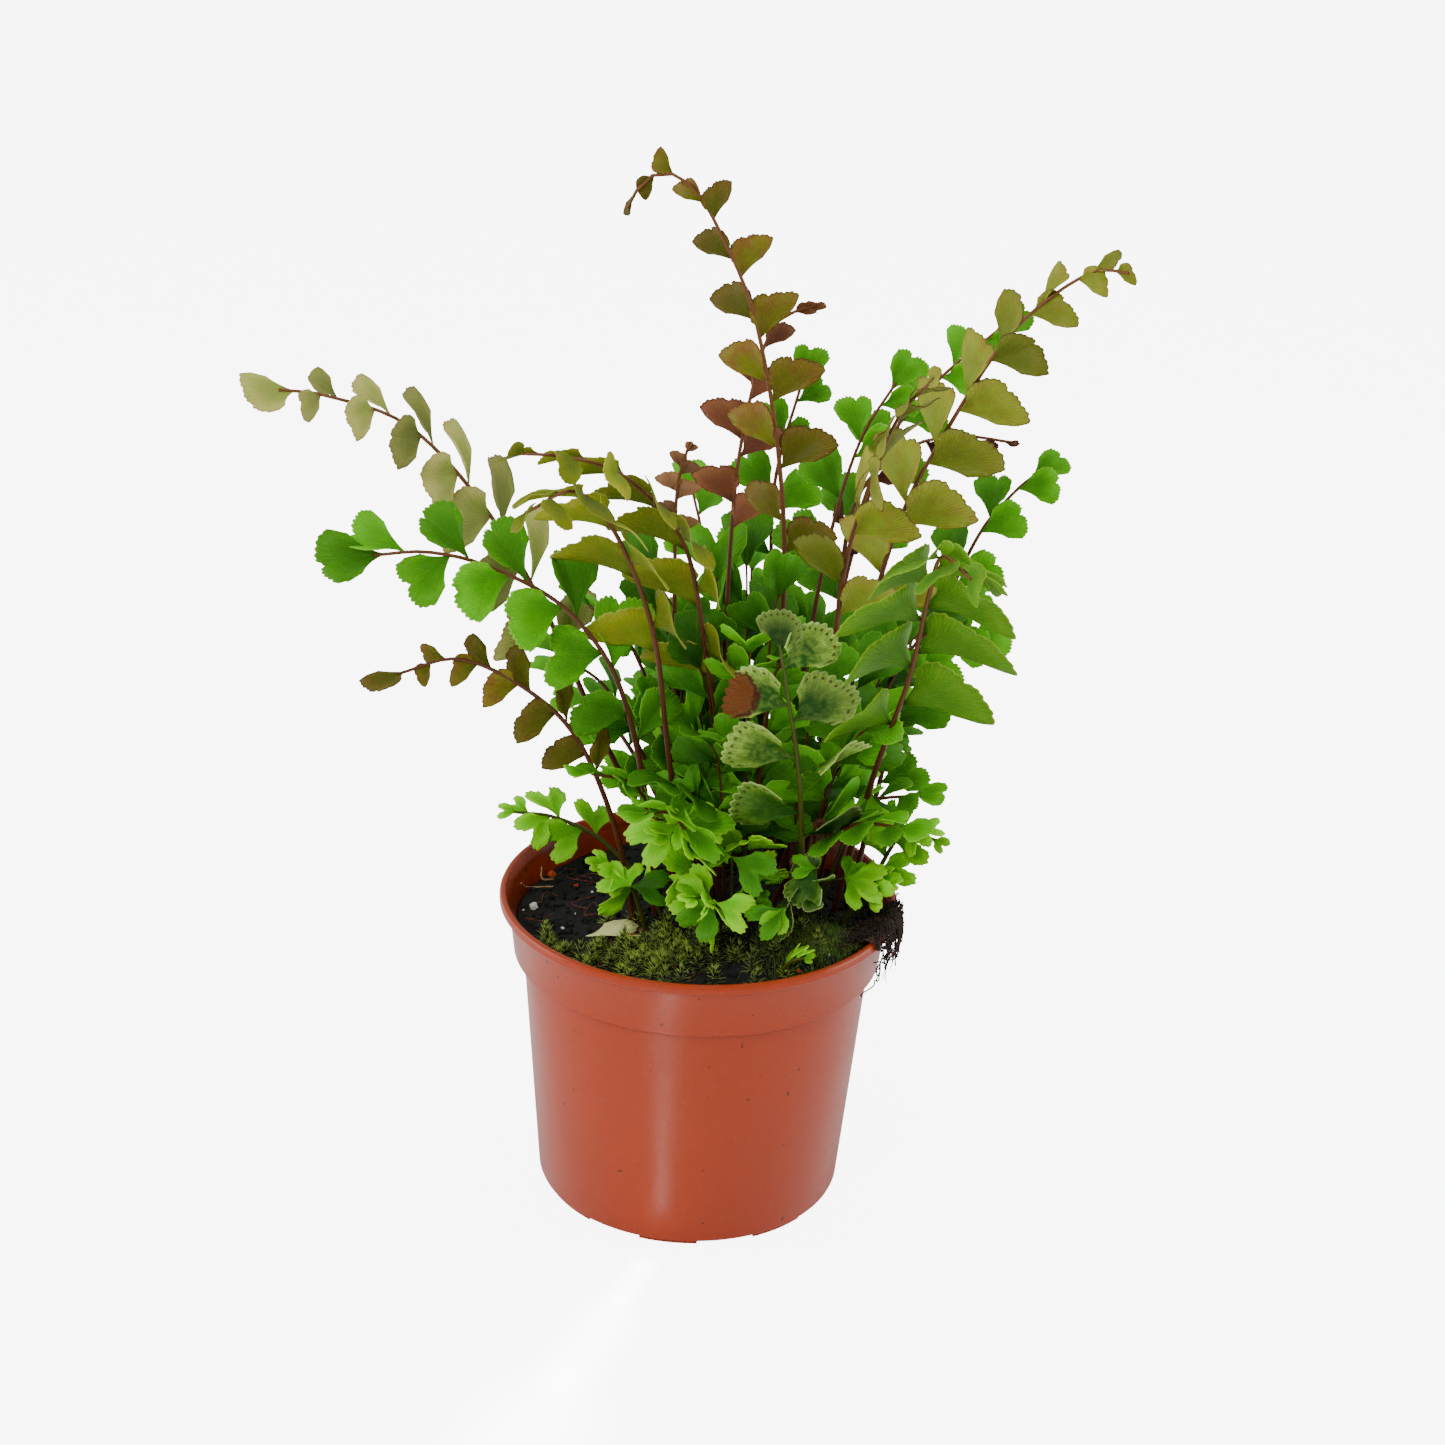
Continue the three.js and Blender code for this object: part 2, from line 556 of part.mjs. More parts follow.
// Leaflets that would touch another piece turn on their own axis, and are left off where no turn is clear.
fronds.forEach((frond, piece) => {
  const others = [...ground, ...stems.filter((_, i) => i !== piece), ...placed.flat()];
  for (const place of leafletPlan(frond, piece)) {
    for (const turn of TURNS) {
      const made = leaflet(frond, place, turn);
      if (clearOf(made, others)) {
        placed[piece].push(withBox(made));
        break;
      }
    }
  }
});

const fern = new THREE.Group();
fern.name = 'potted_fern';
fern.add(meshOf('pot', pot, 0xb5532f, 0.42));
fern.add(meshOf('soil', soil, 0x241a14, 1));
fern.add(meshOf('root_tuft', tuft.asOriginal().simplify(SLIVER), 0x3a261a, 0.9));
fern.add(meshOf('fallen_leaf', fallenLeaf, 0xbfa86a, 0.8));
fronds.forEach(({ name, kind, stem }, piece) => {
  const whole = wasm.Manifold.union([stem, ...placed[piece].map((leaf) => leaf.solid)]);
  fern.add(meshOf(name, whole.asOriginal().simplify(SLIVER), KINDS[kind].color, 0.6));
});

export default fern;
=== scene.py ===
"""A potted fern: nursery pot, peat, moss, roots and fronds of fan-shaped leaflets, on a pale floor."""
import math
import random

import bmesh
import bpy
from bpy.props import FloatProperty, FloatVectorProperty, IntProperty, PointerProperty
from mathutils import Matrix, Quaternion, Vector, noise
from mathutils.kdtree import KDTree


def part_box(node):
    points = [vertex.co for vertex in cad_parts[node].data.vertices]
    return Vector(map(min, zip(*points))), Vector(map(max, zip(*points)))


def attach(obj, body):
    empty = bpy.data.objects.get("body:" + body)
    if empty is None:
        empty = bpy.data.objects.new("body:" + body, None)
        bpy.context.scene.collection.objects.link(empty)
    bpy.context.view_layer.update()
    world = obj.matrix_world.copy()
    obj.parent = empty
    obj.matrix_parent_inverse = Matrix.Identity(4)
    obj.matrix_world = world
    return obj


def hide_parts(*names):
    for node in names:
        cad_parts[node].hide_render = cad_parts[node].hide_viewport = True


bl_info = {
    "name": "Potted Fern",
    "version": (1, 0, 0),
    "blender": (4, 5, 0),
    "location": "View3D > Sidebar > Fern",
    "description": "Builds a potted fern piece by piece",
    "category": "Add Mesh",
}

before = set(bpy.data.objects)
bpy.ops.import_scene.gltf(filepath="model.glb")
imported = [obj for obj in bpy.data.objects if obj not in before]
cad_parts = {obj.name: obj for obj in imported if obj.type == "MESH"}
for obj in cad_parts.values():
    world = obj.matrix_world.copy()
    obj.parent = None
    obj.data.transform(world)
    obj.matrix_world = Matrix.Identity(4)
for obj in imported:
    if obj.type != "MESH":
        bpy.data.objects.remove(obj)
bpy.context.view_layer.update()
MM = 0.001
BODY = "root"

# Pot profile, in millimetres
RIM_RADIUS, POT_HEIGHT, WALL = 60, 96, 1.4
LIP_HEIGHT, LIP_WIDTH, BAND_HEIGHT = 3, 2, 19
BAND_TOP_RADIUS, BAND_FOOT_RADIUS = 57.3, 55.5
BODY_TOP_RADIUS, BODY_FOOT_RADIUS = 52.7, 46.6
BASE_RADIUS, BASE_RECESS, FLOOR_HEIGHT = 42, 1.1, 4.4
FEET, FOOT_ANGLE, FIRST_FOOT = 8, math.radians(21), math.radians(-96)
DRAIN_HOLES, DRAIN_RADIUS, DRAIN_CIRCLE = 6, 3.5, 27
TURN_STEPS, SHARP_ANGLE = 144, math.radians(32)
# Painted shade in the creases under the band and the lip: height in millimetres and strength, then its fade
# in metres
PAINTED_CREASE_SHADES = ((POT_HEIGHT - BAND_HEIGHT - 0.5, 0.75), (POT_HEIGHT - LIP_HEIGHT - 0.4, 0.35))
PAINTED_SHADE_FADE = (0.0007, 0.0003)

# A repeatable draw is the fraction of a steep wave
PIECE_PACE, PURPOSE_PACE, WAVE_PACE = 12.9898, 78.233, 43758.5453

# Soil surface: banks are centre x, centre y, spread and height; then the height and paces of slow waves
GAP, SOIL_LEVEL, SOIL_EDGE_RADIUS, ROOT_DEPTH = 0.35, 86, 54.6, 9
BANKS = ((12, 12, 17, 8), (36, -26, 15, 8), (-6, -44, 13, 4))
SOIL_WAVE, WAVE_SHIFT, PACE_X, PACE_Y = 0.7, 1.2, 0.31, 0.27
CROWN_X, CROWN_Y = 12, 12
SOIL_RINGS, SOIL_STEPS = 60, 120

# Leaf kinds: coarse outline, arch, lean towards the tip, record slot
KINDS = {
    "bronze": ("wing", 0.2, 32, "bronze_leaf"),
    "copper": ("wing", 0.1, 36, "copper_leaf"),
    "olive": ("wing", 0.24, 22, "olive_leaf"),
    "green": ("fan", 0.14, 32, "green_leaf"),
    "shaded_green": ("fan", 0.2, 30, "green_leaf"),
    "old": ("fan", 0.12, 24, "old_leaf"),
    "young": ("lobed", 0.18, 30, "young_leaf"),
    "dried": ("fan", 0.5, 30, "dried_leaf"),
}
OUTLINES = {
    "wing": ((0, 0), (0.55, -0.13), (1, -0.1), (0.88, 0.16), (0.55, 0.44), (0.2, 0.42)),
    "fan": ((0, 0), (0.66, -0.34), (1, -0.14), (0.92, 0.32), (0.46, 0.42)),
    "lobed": ((0, 0), (0.62, -0.42), (0.92, -0.28), (0.82, 0.02), (0.96, 0.34), (0.5, 0.42)),
}
# Fine margins: pairs of angle in degrees and radius, then the notch's angle, the scallops and their depth
MARGINS = {
    "wing": (((-16, 0.6), (-13, 0.9), (-9, 1.04), (-2, 1.02), (10, 0.94), (24, 0.87), (38, 0.8),
              (48, 0.73), (56, 0.6), (61, 0.42)), 22, 14, 0.028),
    "fan": (((-27, 0.62), (-23, 0.93), (-13, 1.01), (-2, 1.0), (9, 0.95), (20, 0.97), (31, 0.93),
             (37, 0.78), (41, 0.52)), 7, 15, 0.038),
    "lobed": (((-40, 0.55), (-35, 0.82), (-24, 1.0), (-12, 0.95), (-4, 0.72), (3, 0.66), (10, 0.86),
               (22, 1.0), (34, 0.94), (43, 0.72), (47, 0.5)), 3, 12, 0.06),
    "round": (((-38, 0.55), (-33, 0.84), (-20, 0.98), (-5, 1.0), (10, 1.0), (24, 0.98), (36, 0.9),
               (44, 0.6)), 6, 11, 0.055),
}
NOTCHES = {"wing": 0.06, "fan": 0.07, "lobed": 0.06, "round": 0.03}
NOTCH_WIDTH, NOTCH_DRIFT, SCALLOP_FADE = 3.2, 4, 0.4
# A blade's grid: columns and rows of a small leaf, then the least columns, columns a scallop and rows
SMALL_GRID, LEAST_COLUMNS, SCALLOP_COLUMNS, FINE_ROWS = (24, 2), 40, 5, 4
FLARE, FLARE_POWER, REACH_POWER, CUP, RIPPLES = 0.45, 1.3, 0.9, 0.09, 9
# Where the middle of a fan lies between its sides, and least value and spread of its waviness and arch
MIDDLES, EVEN_MIDDLE = {"wing": 0.3}, 0.5
WAVE_SHARE, ARCH_SHARE = (0.6, 0.9), (0.75, 0.6)
# The finer outline of a kind where it differs, and how much larger its leaves are than the coarse ones
FINE_OUTLINES = {"old": "round"}
FINE_SIZES = {"old": 1.18, "young": 1.12, "bronze": 1.04, "olive": 1.04, "frond_left_arch": 1.3,
              "frond_small_left": 1.22}
TURNS = (0, 16, -16, 32, -32, 50, -50)
# A coarse corner counts as found within this many metres, and a leaflet stands where at least so many are
FOUND_WITHIN, LEAST_FOUND = 0.00045, 2
FINE_LENGTH, STEM_STEPS, SEED_STEP = 10, 46, 31
# As in the solids: blade thickness, a stem's spare rings, and how leaflets are spaced, sized and turned
BLADE, SPARE_RINGS = 0.7, 4
SPACING, NARROWING, FIRST_LEAFLET = 0.85, 1.7, 0.82
TIP_LEAN, LEAN_SPREAD, ROLL_SPREAD, END_LEAN, END_REACH = 16, 12, 20, 82, 0.98
# What a frond has unless its own entry says otherwise
PLAIN = {"kind": "green", "first": 0.42, "taper": 0.74, "end": 0.4, "lift": 0, "tilt": 0}

# Large fronds: a path is the foot's x and y, then places along the stem
FRONDS = (
    dict(name="frond_tall", kind="bronze", leaflets=14, first=0.46, size=18, face=(-0.3, -1, 0.3),
         lift=-14, tilt=-6,
         path=((22, 17), (21, 13, 140), (20, 8, 210), (10, -2, 270), (-4, -6, 303), (-13, -8, 314),
               (-22, -10, 314), (-27, -12, 306))),
    dict(name="frond_copper", kind="copper", leaflets=9, first=0.6, size=17, face=(0.3, -1, 0.2),
         lift=-8,
         path=((7, 22), (5, 27, 140), (5, 32, 196), (7, 35, 228), (13, 36, 258), (20, 33, 267),
               (26, 30, 270))),
    dict(name="frond_right", kind="bronze", leaflets=14, first=0.42, size=23, end=0.3,
         face=(-0.1, -0.8, 0.85), lift=-10,
         path=((30, 17), (42, 24, 150), (53, 20, 206), (64, 12, 238), (80, 0, 273), (98, -10, 293),
               (108, -19, 296))),
    dict(name="frond_inner", kind="bronze", leaflets=10, first=0.5, size=20, face=(0, -0.6, 1),
         lift=-8, tilt=6,
         path=((34, 9), (35, -2, 150), (37, -12, 203), (41, -22, 230), (47, -44, 260),
               (54, -68, 279))),
    dict(name="frond_front", kind="olive", leaflets=12, first=0.42, size=29, face=(0, 0.1, 1),
         lift=-12, tilt=12,
         path=((41, 2), (49, -12, 140), (56, -34, 182), (58, -54, 214), (59, -76, 234),
               (64, -108, 240))),
    dict(name="frond_mid_left", kind="olive", leaflets=13, first=0.4, size=24, face=(0.2, 0.1, 1),
         lift=-8, tilt=10,
         path=((4, 9), (3, 0, 148), (-1, -11, 178), (-8, -24, 215), (-23, -44, 240),
               (-37, -60, 251), (-52, -73, 256))),
    dict(name="frond_near_left", kind="olive", leaflets=10, first=0.48, size=24,
         face=(0.2, 0.2, 1), lift=-8, tilt=10,
         path=((-4, 4), (-11, -13, 150), (-16, -26, 190), (-26, -44, 224), (-36, -72, 246),
               (-47, -98, 249))),
    dict(name="frond_left_arch", kind="olive", leaflets=14, first=0.42, size=19, end=0.6,
         face=(0.1, -0.6, 1), lift=4, tilt=6,
         path=((-8, 23), (-30, 18, 135), (-48, 5, 182), (-65, -10, 219), (-84, -27, 247),
               (-104, -41, 259), (-116, -47, 262))),
    dict(name="frond_green_left", leaflets=11, first=0.38, size=22, taper=0.3, end=0.85,
         face=(0.25, -0.9, 0.9),
         path=((-13, -2), (-16, -6, 124), (-25, -20, 170), (-40, -33, 198), (-60, -45, 214),
               (-76, -54, 221), (-90, -61, 222))),
    dict(name="frond_small_left", kind="bronze", leaflets=10, first=0.44, size=13, end=0.8,
         face=(0.2, -0.9, 0.9), lift=-6,
         path=((-19, -7), (-25, -12, 120), (-36, -24, 154), (-50, -35, 174), (-68, -48, 188),
               (-84, -58, 187))),
    dict(name="frond_old", kind="old", leaflets=7, first=0.36, size=20, taper=0.3, end=0.6,
         face=(0, -1, 0.3), lift=4,
         path=((31, -8), (29, -22, 128), (26, -36, 158), (22, -47, 181), (19, -54, 199))),
    dict(name="frond_rear_right", leaflets=9, size=18, taper=0.3, end=0.7, face=(-0.3, -0.8, 0.9),
         path=((41, 25), (56, 38, 132), (70, 49, 168), (81, 55, 194), (91, 58, 207),
               (98, 60, 213))),
    dict(name="frond_rear_top", leaflets=11, size=19, taper=0.5, end=0.7, face=(-0.3, -1, 0.6),
         path=((26, 34), (34, 52, 130), (43, 68, 180), (53, 75, 216), (66, 71, 237),
               (84, 62, 258))),
    dict(name="frond_rear_mid", leaflets=9, first=0.46, size=19, taper=0.5, end=0.7,
         face=(0.1, -1, 0.4),
         path=((14, 35), (17, 50, 130), (18, 60, 170), (18, 65, 205), (25, 66, 238))),
    dict(name="frond_rear_inner", leaflets=9, first=0.44, size=20, taper=0.5, end=0.7,
         face=(-0.1, -0.9, 0.6),
         path=((22, 26), (28, 37, 140), (34, 46, 188), (42, 50, 222), (52, 48, 243))),
    dict(name="fiddlehead", kind="copper", leaflets=7, first=0.82, size=9, face=(0, -1, 0.3),
         lift=8, path=((-3, 14), (-9, 8, 150), (-11, 5, 200), (-11, 5, 222), (-8, 4, 236))),
    dict(name="frond_dried", kind="dried", leaflets=7, first=0.6, size=11, face=(0, -0.6, 1),
         lift=-20, tilt=30,
         path=((35, 20), (38, 36, 140), (41, 48, 200), (56, 50, 221), (72, 48, 227),
               (88, 41, 228))),
    dict(name="frond_low_right", leaflets=7, first=0.46, size=19, taper=0.3, end=0.8,
         face=(-0.2, -0.5, 1), tilt=10,
         path=((46, 12), (53, 17, 125), (58, 20, 152), (67, 20, 170), (77, 19, 174))),
)
# Young fronds low in the clump
JUVENILES = (
    dict(name="young_right", leaflets=6, size=13, face=(0, -0.8, 1),
         path=((49, 5), (55, 1, 108), (61, -4, 121), (69, -10, 121))),
    dict(name="young_left", leaflets=5, size=15,
         path=((-20, 24), (-32, 27, 99), (-46, 28, 105), (-58, 26, 107))),
    dict(name="young_front_high", leaflets=5, size=18,
         path=((0, -8), (-2, -16, 112), (-5, -24, 124), (-10, -30, 128))),
    dict(name="young_front_low", leaflets=5, size=15,
         path=((6, -22), (4, -28, 102), (2, -34, 111), (-1, -39, 113))),
    dict(name="young_front_left", leaflets=5, size=13,
         path=((-16, -8), (-20, -11, 102), (-25, -15, 110), (-29, -18, 112))),
    dict(name="young_front_right", kind="old", leaflets=4, size=14,
         path=((24, -14), (27, -20, 104), (30, -26, 111), (32, -31, 111))),
    dict(name="young_crown", leaflets=5, size=15,
         path=((13, -4), (13, -10, 108), (13, -16, 119), (14, -22, 124))),
    dict(name="young_centre", kind="green", leaflets=4, size=14,
         path=((15, -13), (16, -17, 102), (17, -22, 110), (18, -27, 111))),
    dict(name="young_rim", leaflets=4, size=12,
         path=((44, -6), (47, -7, 98), (51, -9, 104), (56, -12, 107))),
    dict(name="young_low", leaflets=4, size=9,
         path=((24, -40), (26, -42, 94), (28, -44, 97), (31, -46, 99))),
)
# Where the bare roots and the withered leaf are, as in the solids
TUFT_ANGLE = math.radians(-17)
FALLEN_X, FALLEN_Y, FALLEN_LENGTH, FALLEN_TURN = -33, -17, 15, math.radians(12)
GOLDEN_ANGLE = math.pi * (3 - math.sqrt(5))
# Shorter fronds: reach, rise and size of low and high ones, then the least share and spread of each measure
FILLERS, FILLER_START, FILLER_RING = 14, 0.65, 18
LOW_FILLER, HIGH_FILLER = (62, 48, 15), (44, 92, 16)
FILLER_SHARES = ((0.8, 0.4), (0.75, 0.5), (0.7, 0.6), (0.85, 0.3))
FILLER_PATH = ((0.2, 0.45), (0.5, 0.85), (0.8, 1))
# Sprays between the stems, the first ones low and behind: least value and spread of each measure
UNDERGROWTH, LOW_UNDERGROWTH, UNDER_START, LOW_SPREAD = 36, 9, 1.9, 2.4
UNDER_MIDDLE, UNDER_SIZE = (CROWN_X + 2, CROWN_Y + 3), (16, 7)
UNDER_RING, UNDER_REACH, UNDER_RISE = (3, 20), (8, 20), (20, 80)
LOW_RING, LOW_REACH, LOW_RISE = (10, 12), (8, 8), (16, 16)
UNDER_PATH = ((0.25, 0.5), (0.6, 0.85), (1, 1))
UNDER_SEED, UNDER_WAVE, UNDER_CLEARANCE = 60, 1.5, 5
UNDER_STEPS, UNDER_RADIUS, UNDER_THINNING = 16, 0.6, 0.018

# Young leaves in front: where they spring from, then each one's angle seen from the front, length and kind
ROSETTES = (
    ((-7, -27, 131), ((212, 16, "young"), (8, 14, "young"), (-70, 8, "young"), (-24, 17, "green"),
                      (66, 10, "green"))),
    ((-1, -13, 136), ((184, 16, "green"), (20, 12, "green"), (110, 12, "shaded_green"))),
    ((5, -37, 111), ((163, 14, "young"), (-22, 12, "young"), (-128, 13, "green"), (192, 9, "young"))),
    ((-20, -23, 108), ((150, 11, "young"), (96, 9, "young"), (-8, 12, "shaded_green"))),
    ((9, -31, 123), ((-32, 14, "shaded_green"), (172, 7, "green"))),
    ((34, -26, 118), ((240, 13, "old"), (178, 8, "green"))),
    ((25, -38, 111), ((214, 12, "shaded_green"), (238, 9, "young"))),
    ((43, -12, 108), ((-12, 13, "young"), (-50, 11, "young"), (60, 8, "green"))),
    ((49, -8, 135), ((-84, 16, "shaded_green"), (-100, 18, "young"))),
)
ROSETTE_SLOTS = {"young": "young_leaf", "green": "green_leaf", "shaded_green": "green_leaf", "old": "old_leaf"}
ROSETTE_SEED, ROSETTE_SEED_STEP, ROSETTE_ARCH = 900, 17, 0.16
# Rolled tips: x, y, height and radius, then the roll's steps, its half turns and how far it tightens
CROZIERS = ((34.8, -8, 123, 2.0), (27.7, -16, 114.5, 1.3))
COIL_STEPS, COIL_HALF_TURNS, COIL_TIGHTENING = 30, 3.2, 0.75

# What lies on the soil: roots along marks, bark chips as x, y and size, and one large grain of perlite
ROOT_STRANDS = (((-54.2, 8.5, 91.5), (-52.8, 13, 88), (-45, 16, 87)),
                ((-49, 23, 90), (-48.5, 19, 88), (-45, 21, 87)))
CHIPS = ((-46, 25, 1.5), (-38, 18, 0.9), (-20, -15, 1.8), (30, -40, 1.0))
BIG_GRAIN, BIG_GRAIN_RISE, BIG_GRAIN_SIZE = (-50, 3), 1.2, 1.7
GRIT_ARC, ROOT_ARC = (math.pi * 0.6, math.pi * 1.9), (math.pi * 0.55, math.pi * 1.5)
LITTER_RADIUS, SOIL_ROOTS, SOIL_ROOT_RADIUS, PALE_ROOT_RADIUS = 53, 26, 0.17, 0.26
# Moss: middle and spread in x and y, and the limit that keeps it off the wall
STAR_X, STAR_Y, STAR_LIMIT = (-17, 17), (-30, 11), 52
SPRIG_TIERS, SPRIG_NEEDLES, NEEDLE_WIDTH = 4, 7, 0.24
VELVET_X, VELVET_Y, VELVET_LIMIT = (36, 9), (-27, 9), 54.5
VELVET_BLADES, VELVET_WIDTH = 4600, 0.2
# Withered leaf: its length by the solid's, how far it is narrowed, and its seed
WITHERED_LENGTH, WITHERED_BREADTH, WITHERED_SEED = 1.2, 0.62, 400
# Roots over the rim: how many, degrees to either side of the tuft, and their way as radius and height
DRAPED_ROOTS, HANGING_ROOTS, ROOT_CRUMBS = 150, 11, 190
ROOT_FAN, HANGING_FAN = (-13, 13), (-9, 12)
DRAPE_START, DRAPE_GROUND, DRAPE_BANK = 47, 48, 54
DRAPE_OVER = ((58.3, POT_HEIGHT + 0.2), (RIM_RADIUS + 0.5, POT_HEIGHT - 1.2),
              (RIM_RADIUS + 0.9, POT_HEIGHT - 7), (RIM_RADIUS + 0.4, POT_HEIGHT - 15))

# Camera: eye in millimetres, degrees round, below the horizon and of roll, lens and sensor in millimetres
EYE = (0.27, -768.14, 487.56)
CAMERA_TURN, CAMERA_DIP, CAMERA_ROLL = 0.3387, 23.6283, 2.5914
LENS, SENSOR = 71.09, 36
# Studio lights: name, place and size in metres, and power as a share of the key light's
LIGHTS = (("key", (-0.45, -1.0, 0.95), 0.5, 1), ("left", (-1.0, 0.1, 0.35), 0.7, 0.6),
          ("right", (1.0, 0.1, 0.35), 0.7, 0.6), ("top", (0.1, 0.3, 1.3), 1.0, 0.5))
LIGHT_TARGET, FLOOR_SIZE, FLOOR_GLOW = Vector((0, 0, 0.14)), 6, 7.0
# Low lights that brighten the floor before the pot: from, to, width and height, in metres
LOW_START, LOW_TURN, LOW_CONE = (-0.0074, -0.045), math.radians(19), math.radians(60)
LOW_STRIPS = ((0.01, 0.035, 0.006, 0.009), (0.035, 0.08, 0.012, 0.018), (0.08, 0.2, 0.022, 0.035))


def draw(piece, purpose):
    """A repeatable draw from 0 to 1."""
    wave = math.sin(piece * PIECE_PACE + purpose * PURPOSE_PACE) * WAVE_PACE
    return wave - math.floor(wave)


def between(span, piece, purpose):
    """A repeatable draw from a span, given as its least value and its spread."""
    return span[0] + span[1] * draw(piece, purpose)


def polar(radius, angle):
    """A place in the plane from its distance and angle."""
    return radius * math.cos(angle), radius * math.sin(angle)


def soil_height(x, y):
    """The soil's height at a place, in millimetres."""
    banks = sum(h * math.exp(-((x - cx) ** 2 + (y - cy) ** 2) / (2 * s * s)) for cx, cy, s, h in BANKS)
    return SOIL_LEVEL + banks + SOIL_WAVE * math.sin(x * PACE_X + WAVE_SHIFT) * math.cos(y * PACE_Y)


def linear(code):
    """A colour written as #rrggbb, in linear light."""
    channels = [int(code[i:i + 2], 16) / 255 for i in (1, 3, 5)]
    return tuple(c / 12.92 if c <= 0.04045 else ((c + 0.055) / 1.055) ** 2.4 for c in channels) + (1,)


def through(points, t):
    """The place at a share t of a smooth curve through points."""
    last = len(points) - 1
    place = last * t
    i = min(int(math.floor(place)), last - 1)
    w = place - i
    p = points
    before = p[i - 1] if i > 0 else p[0] * 2 - p[1]
    after = p[i + 2] if i + 2 <= last else p[last] * 2 - p[last - 1]
    start, end = (p[i + 1] - before) * 0.5, (after - p[i]) * 0.5
    c2 = p[i] * -3 + p[i + 1] * 3 - start * 2 - end
    c3 = p[i] * 2 - p[i + 1] * 2 + start + end
    return p[i] + start * w + c2 * w * w + c3 * w ** 3


def drawn(marks, steps, radius, thinning=0.0):
    """Places along a curve through marks, each with its radius, which falls at every step."""
    return [(through(marks, i / steps), radius - thinning * i) for i in range(steps + 1)]


class Stem:
    """A stem's curve through its path, measured by its length."""

    STEPS = 200

    def __init__(self, path):
        (x, y), rest = path[0], path[1:]
        top = soil_height(x, y)
        self.points = [Vector((x, y, top - ROOT_DEPTH)), Vector((x, y, top))] + [Vector(p) for p in rest]
        at = [self.at(i / self.STEPS) for i in range(self.STEPS + 1)]
        self.reached = [0.0]
        for a, b in zip(at, at[1:]):
            self.reached.append(self.reached[-1] + (b - a).length)
        self.rings = len(path) + SPARE_RINGS

    def at(self, t):
        return through(self.points, t)

    def time(self, share):
        target = share * self.reached[-1]
        for i in range(self.STEPS):
            if self.reached[i + 1] >= target:
                span = self.reached[i + 1] - self.reached[i]
                return (i + (target - self.reached[i]) / span) / self.STEPS
        return 1.0

    def along(self, share):
        t = self.time(share)
        return (self.at(min(1, t + 1e-4)) - self.at(max(0, t - 1e-4))).normalized()

    def frame(self, share, face, straight=True):
        """Point, along, upper and across. The coarse stem runs straight from ring to ring."""
        place = min(max(share, 0), 1) * self.rings
        ring = min(int(place), self.rings - 1)
        if straight:
            a, b = self.at(self.time(ring / self.rings)), self.at(self.time((ring + 1) / self.rings))
            point = a.lerp(b, place - ring)
        else:
            point = self.at(self.time(share))
        along = self.along(place / self.rings)
        upper = (face - along * face.dot(along)).normalized()
        return point, along, upper, along.cross(upper)


def leaflet_axes(stem, face, kind, lift, place, turn, straight=True):
    """Root point and the axes outwards, towards the tip and out of the upper side."""
    point, along, upper, across = stem.frame(place["reach"], face, straight)
    side, lean = place["side"], math.radians(place["forward"])
    out = across * (side * math.cos(lean)) + along * math.sin(lean)
    out = Quaternion(out.cross(upper).normalized(), math.radians(lift)) @ out
    tipward = (along - out * along.dot(out)).normalized()
    if tipward.dot(along) < 0:
        tipward.negate()
    tipward = Quaternion(out, side * math.radians(place["roll"] + turn)) @ tipward
    second = tipward * side
    return point, out, second, out.cross(second)


def leaflet_plan(frond, piece):
    """Where the leaflets stand, in pairs a little apart, how large they are, how they lean and turn."""
    plan = []
    forward = KINDS[frond["kind"]][2]
    for i in range(frond["leaflets"]):
        share = (2 * (i // 2) + 0.6 * (i % 2)) / frond["leaflets"]
        plan.append({
            "reach": frond["first"] + (1 - frond["first"]) * share ** SPACING,
            "side": -1 if i % 2 else 1,
            "length": (frond["size"] * min(1, FIRST_LEAFLET + share)
                       * (1 - frond["taper"] * share ** NARROWING)),
            "forward": forward + TIP_LEAN * share + LEAN_SPREAD * (draw(piece, i) - 0.5),
            "roll": frond["tilt"] + ROLL_SPREAD * (draw(i, piece) - 0.5),
        })
    plan.append({"reach": END_REACH, "side": 1, "length": frond["size"] * frond["end"],
                 "forward": END_LEAN, "roll": frond["tilt"]})
    return plan


def leaning_path(middle, angle, ring, reach, rise, marks):
    """A stem's foot on a ring round the middle, then its places on the way out and up."""
    def at(distance):
        return middle[0] + distance * math.cos(angle), middle[1] + distance * math.sin(angle)

    root = at(ring)
    ground = soil_height(*root)
    return (root,) + tuple((*at(ring + o * reach), ground + u * rise) for o, u in marks)


def filler_frond(i):
    """The rule for the shorter fronds: by turns leaning out and standing high."""
    angle = i * GOLDEN_ANGLE + FILLER_START
    reach, rise, size = HIGH_FILLER if i % 2 else LOW_FILLER
    reach_share, rise_share, ring_share, size_share = (
        between(span, i, purpose) for purpose, span in enumerate(FILLER_SHARES, 1))
    path = leaning_path((CROWN_X, CROWN_Y), angle, FILLER_RING * ring_share, reach * reach_share,
                        rise * rise_share, FILLER_PATH)
    return dict(name=f"frond_filler_{i + 1:02d}", leaflets=7, first=0.4, taper=0.4, end=0.8,
                size=size * size_share, tilt=6, path=path,
                face=(-0.6 * math.cos(angle), -0.6 * math.sin(angle) - 0.3, 1))


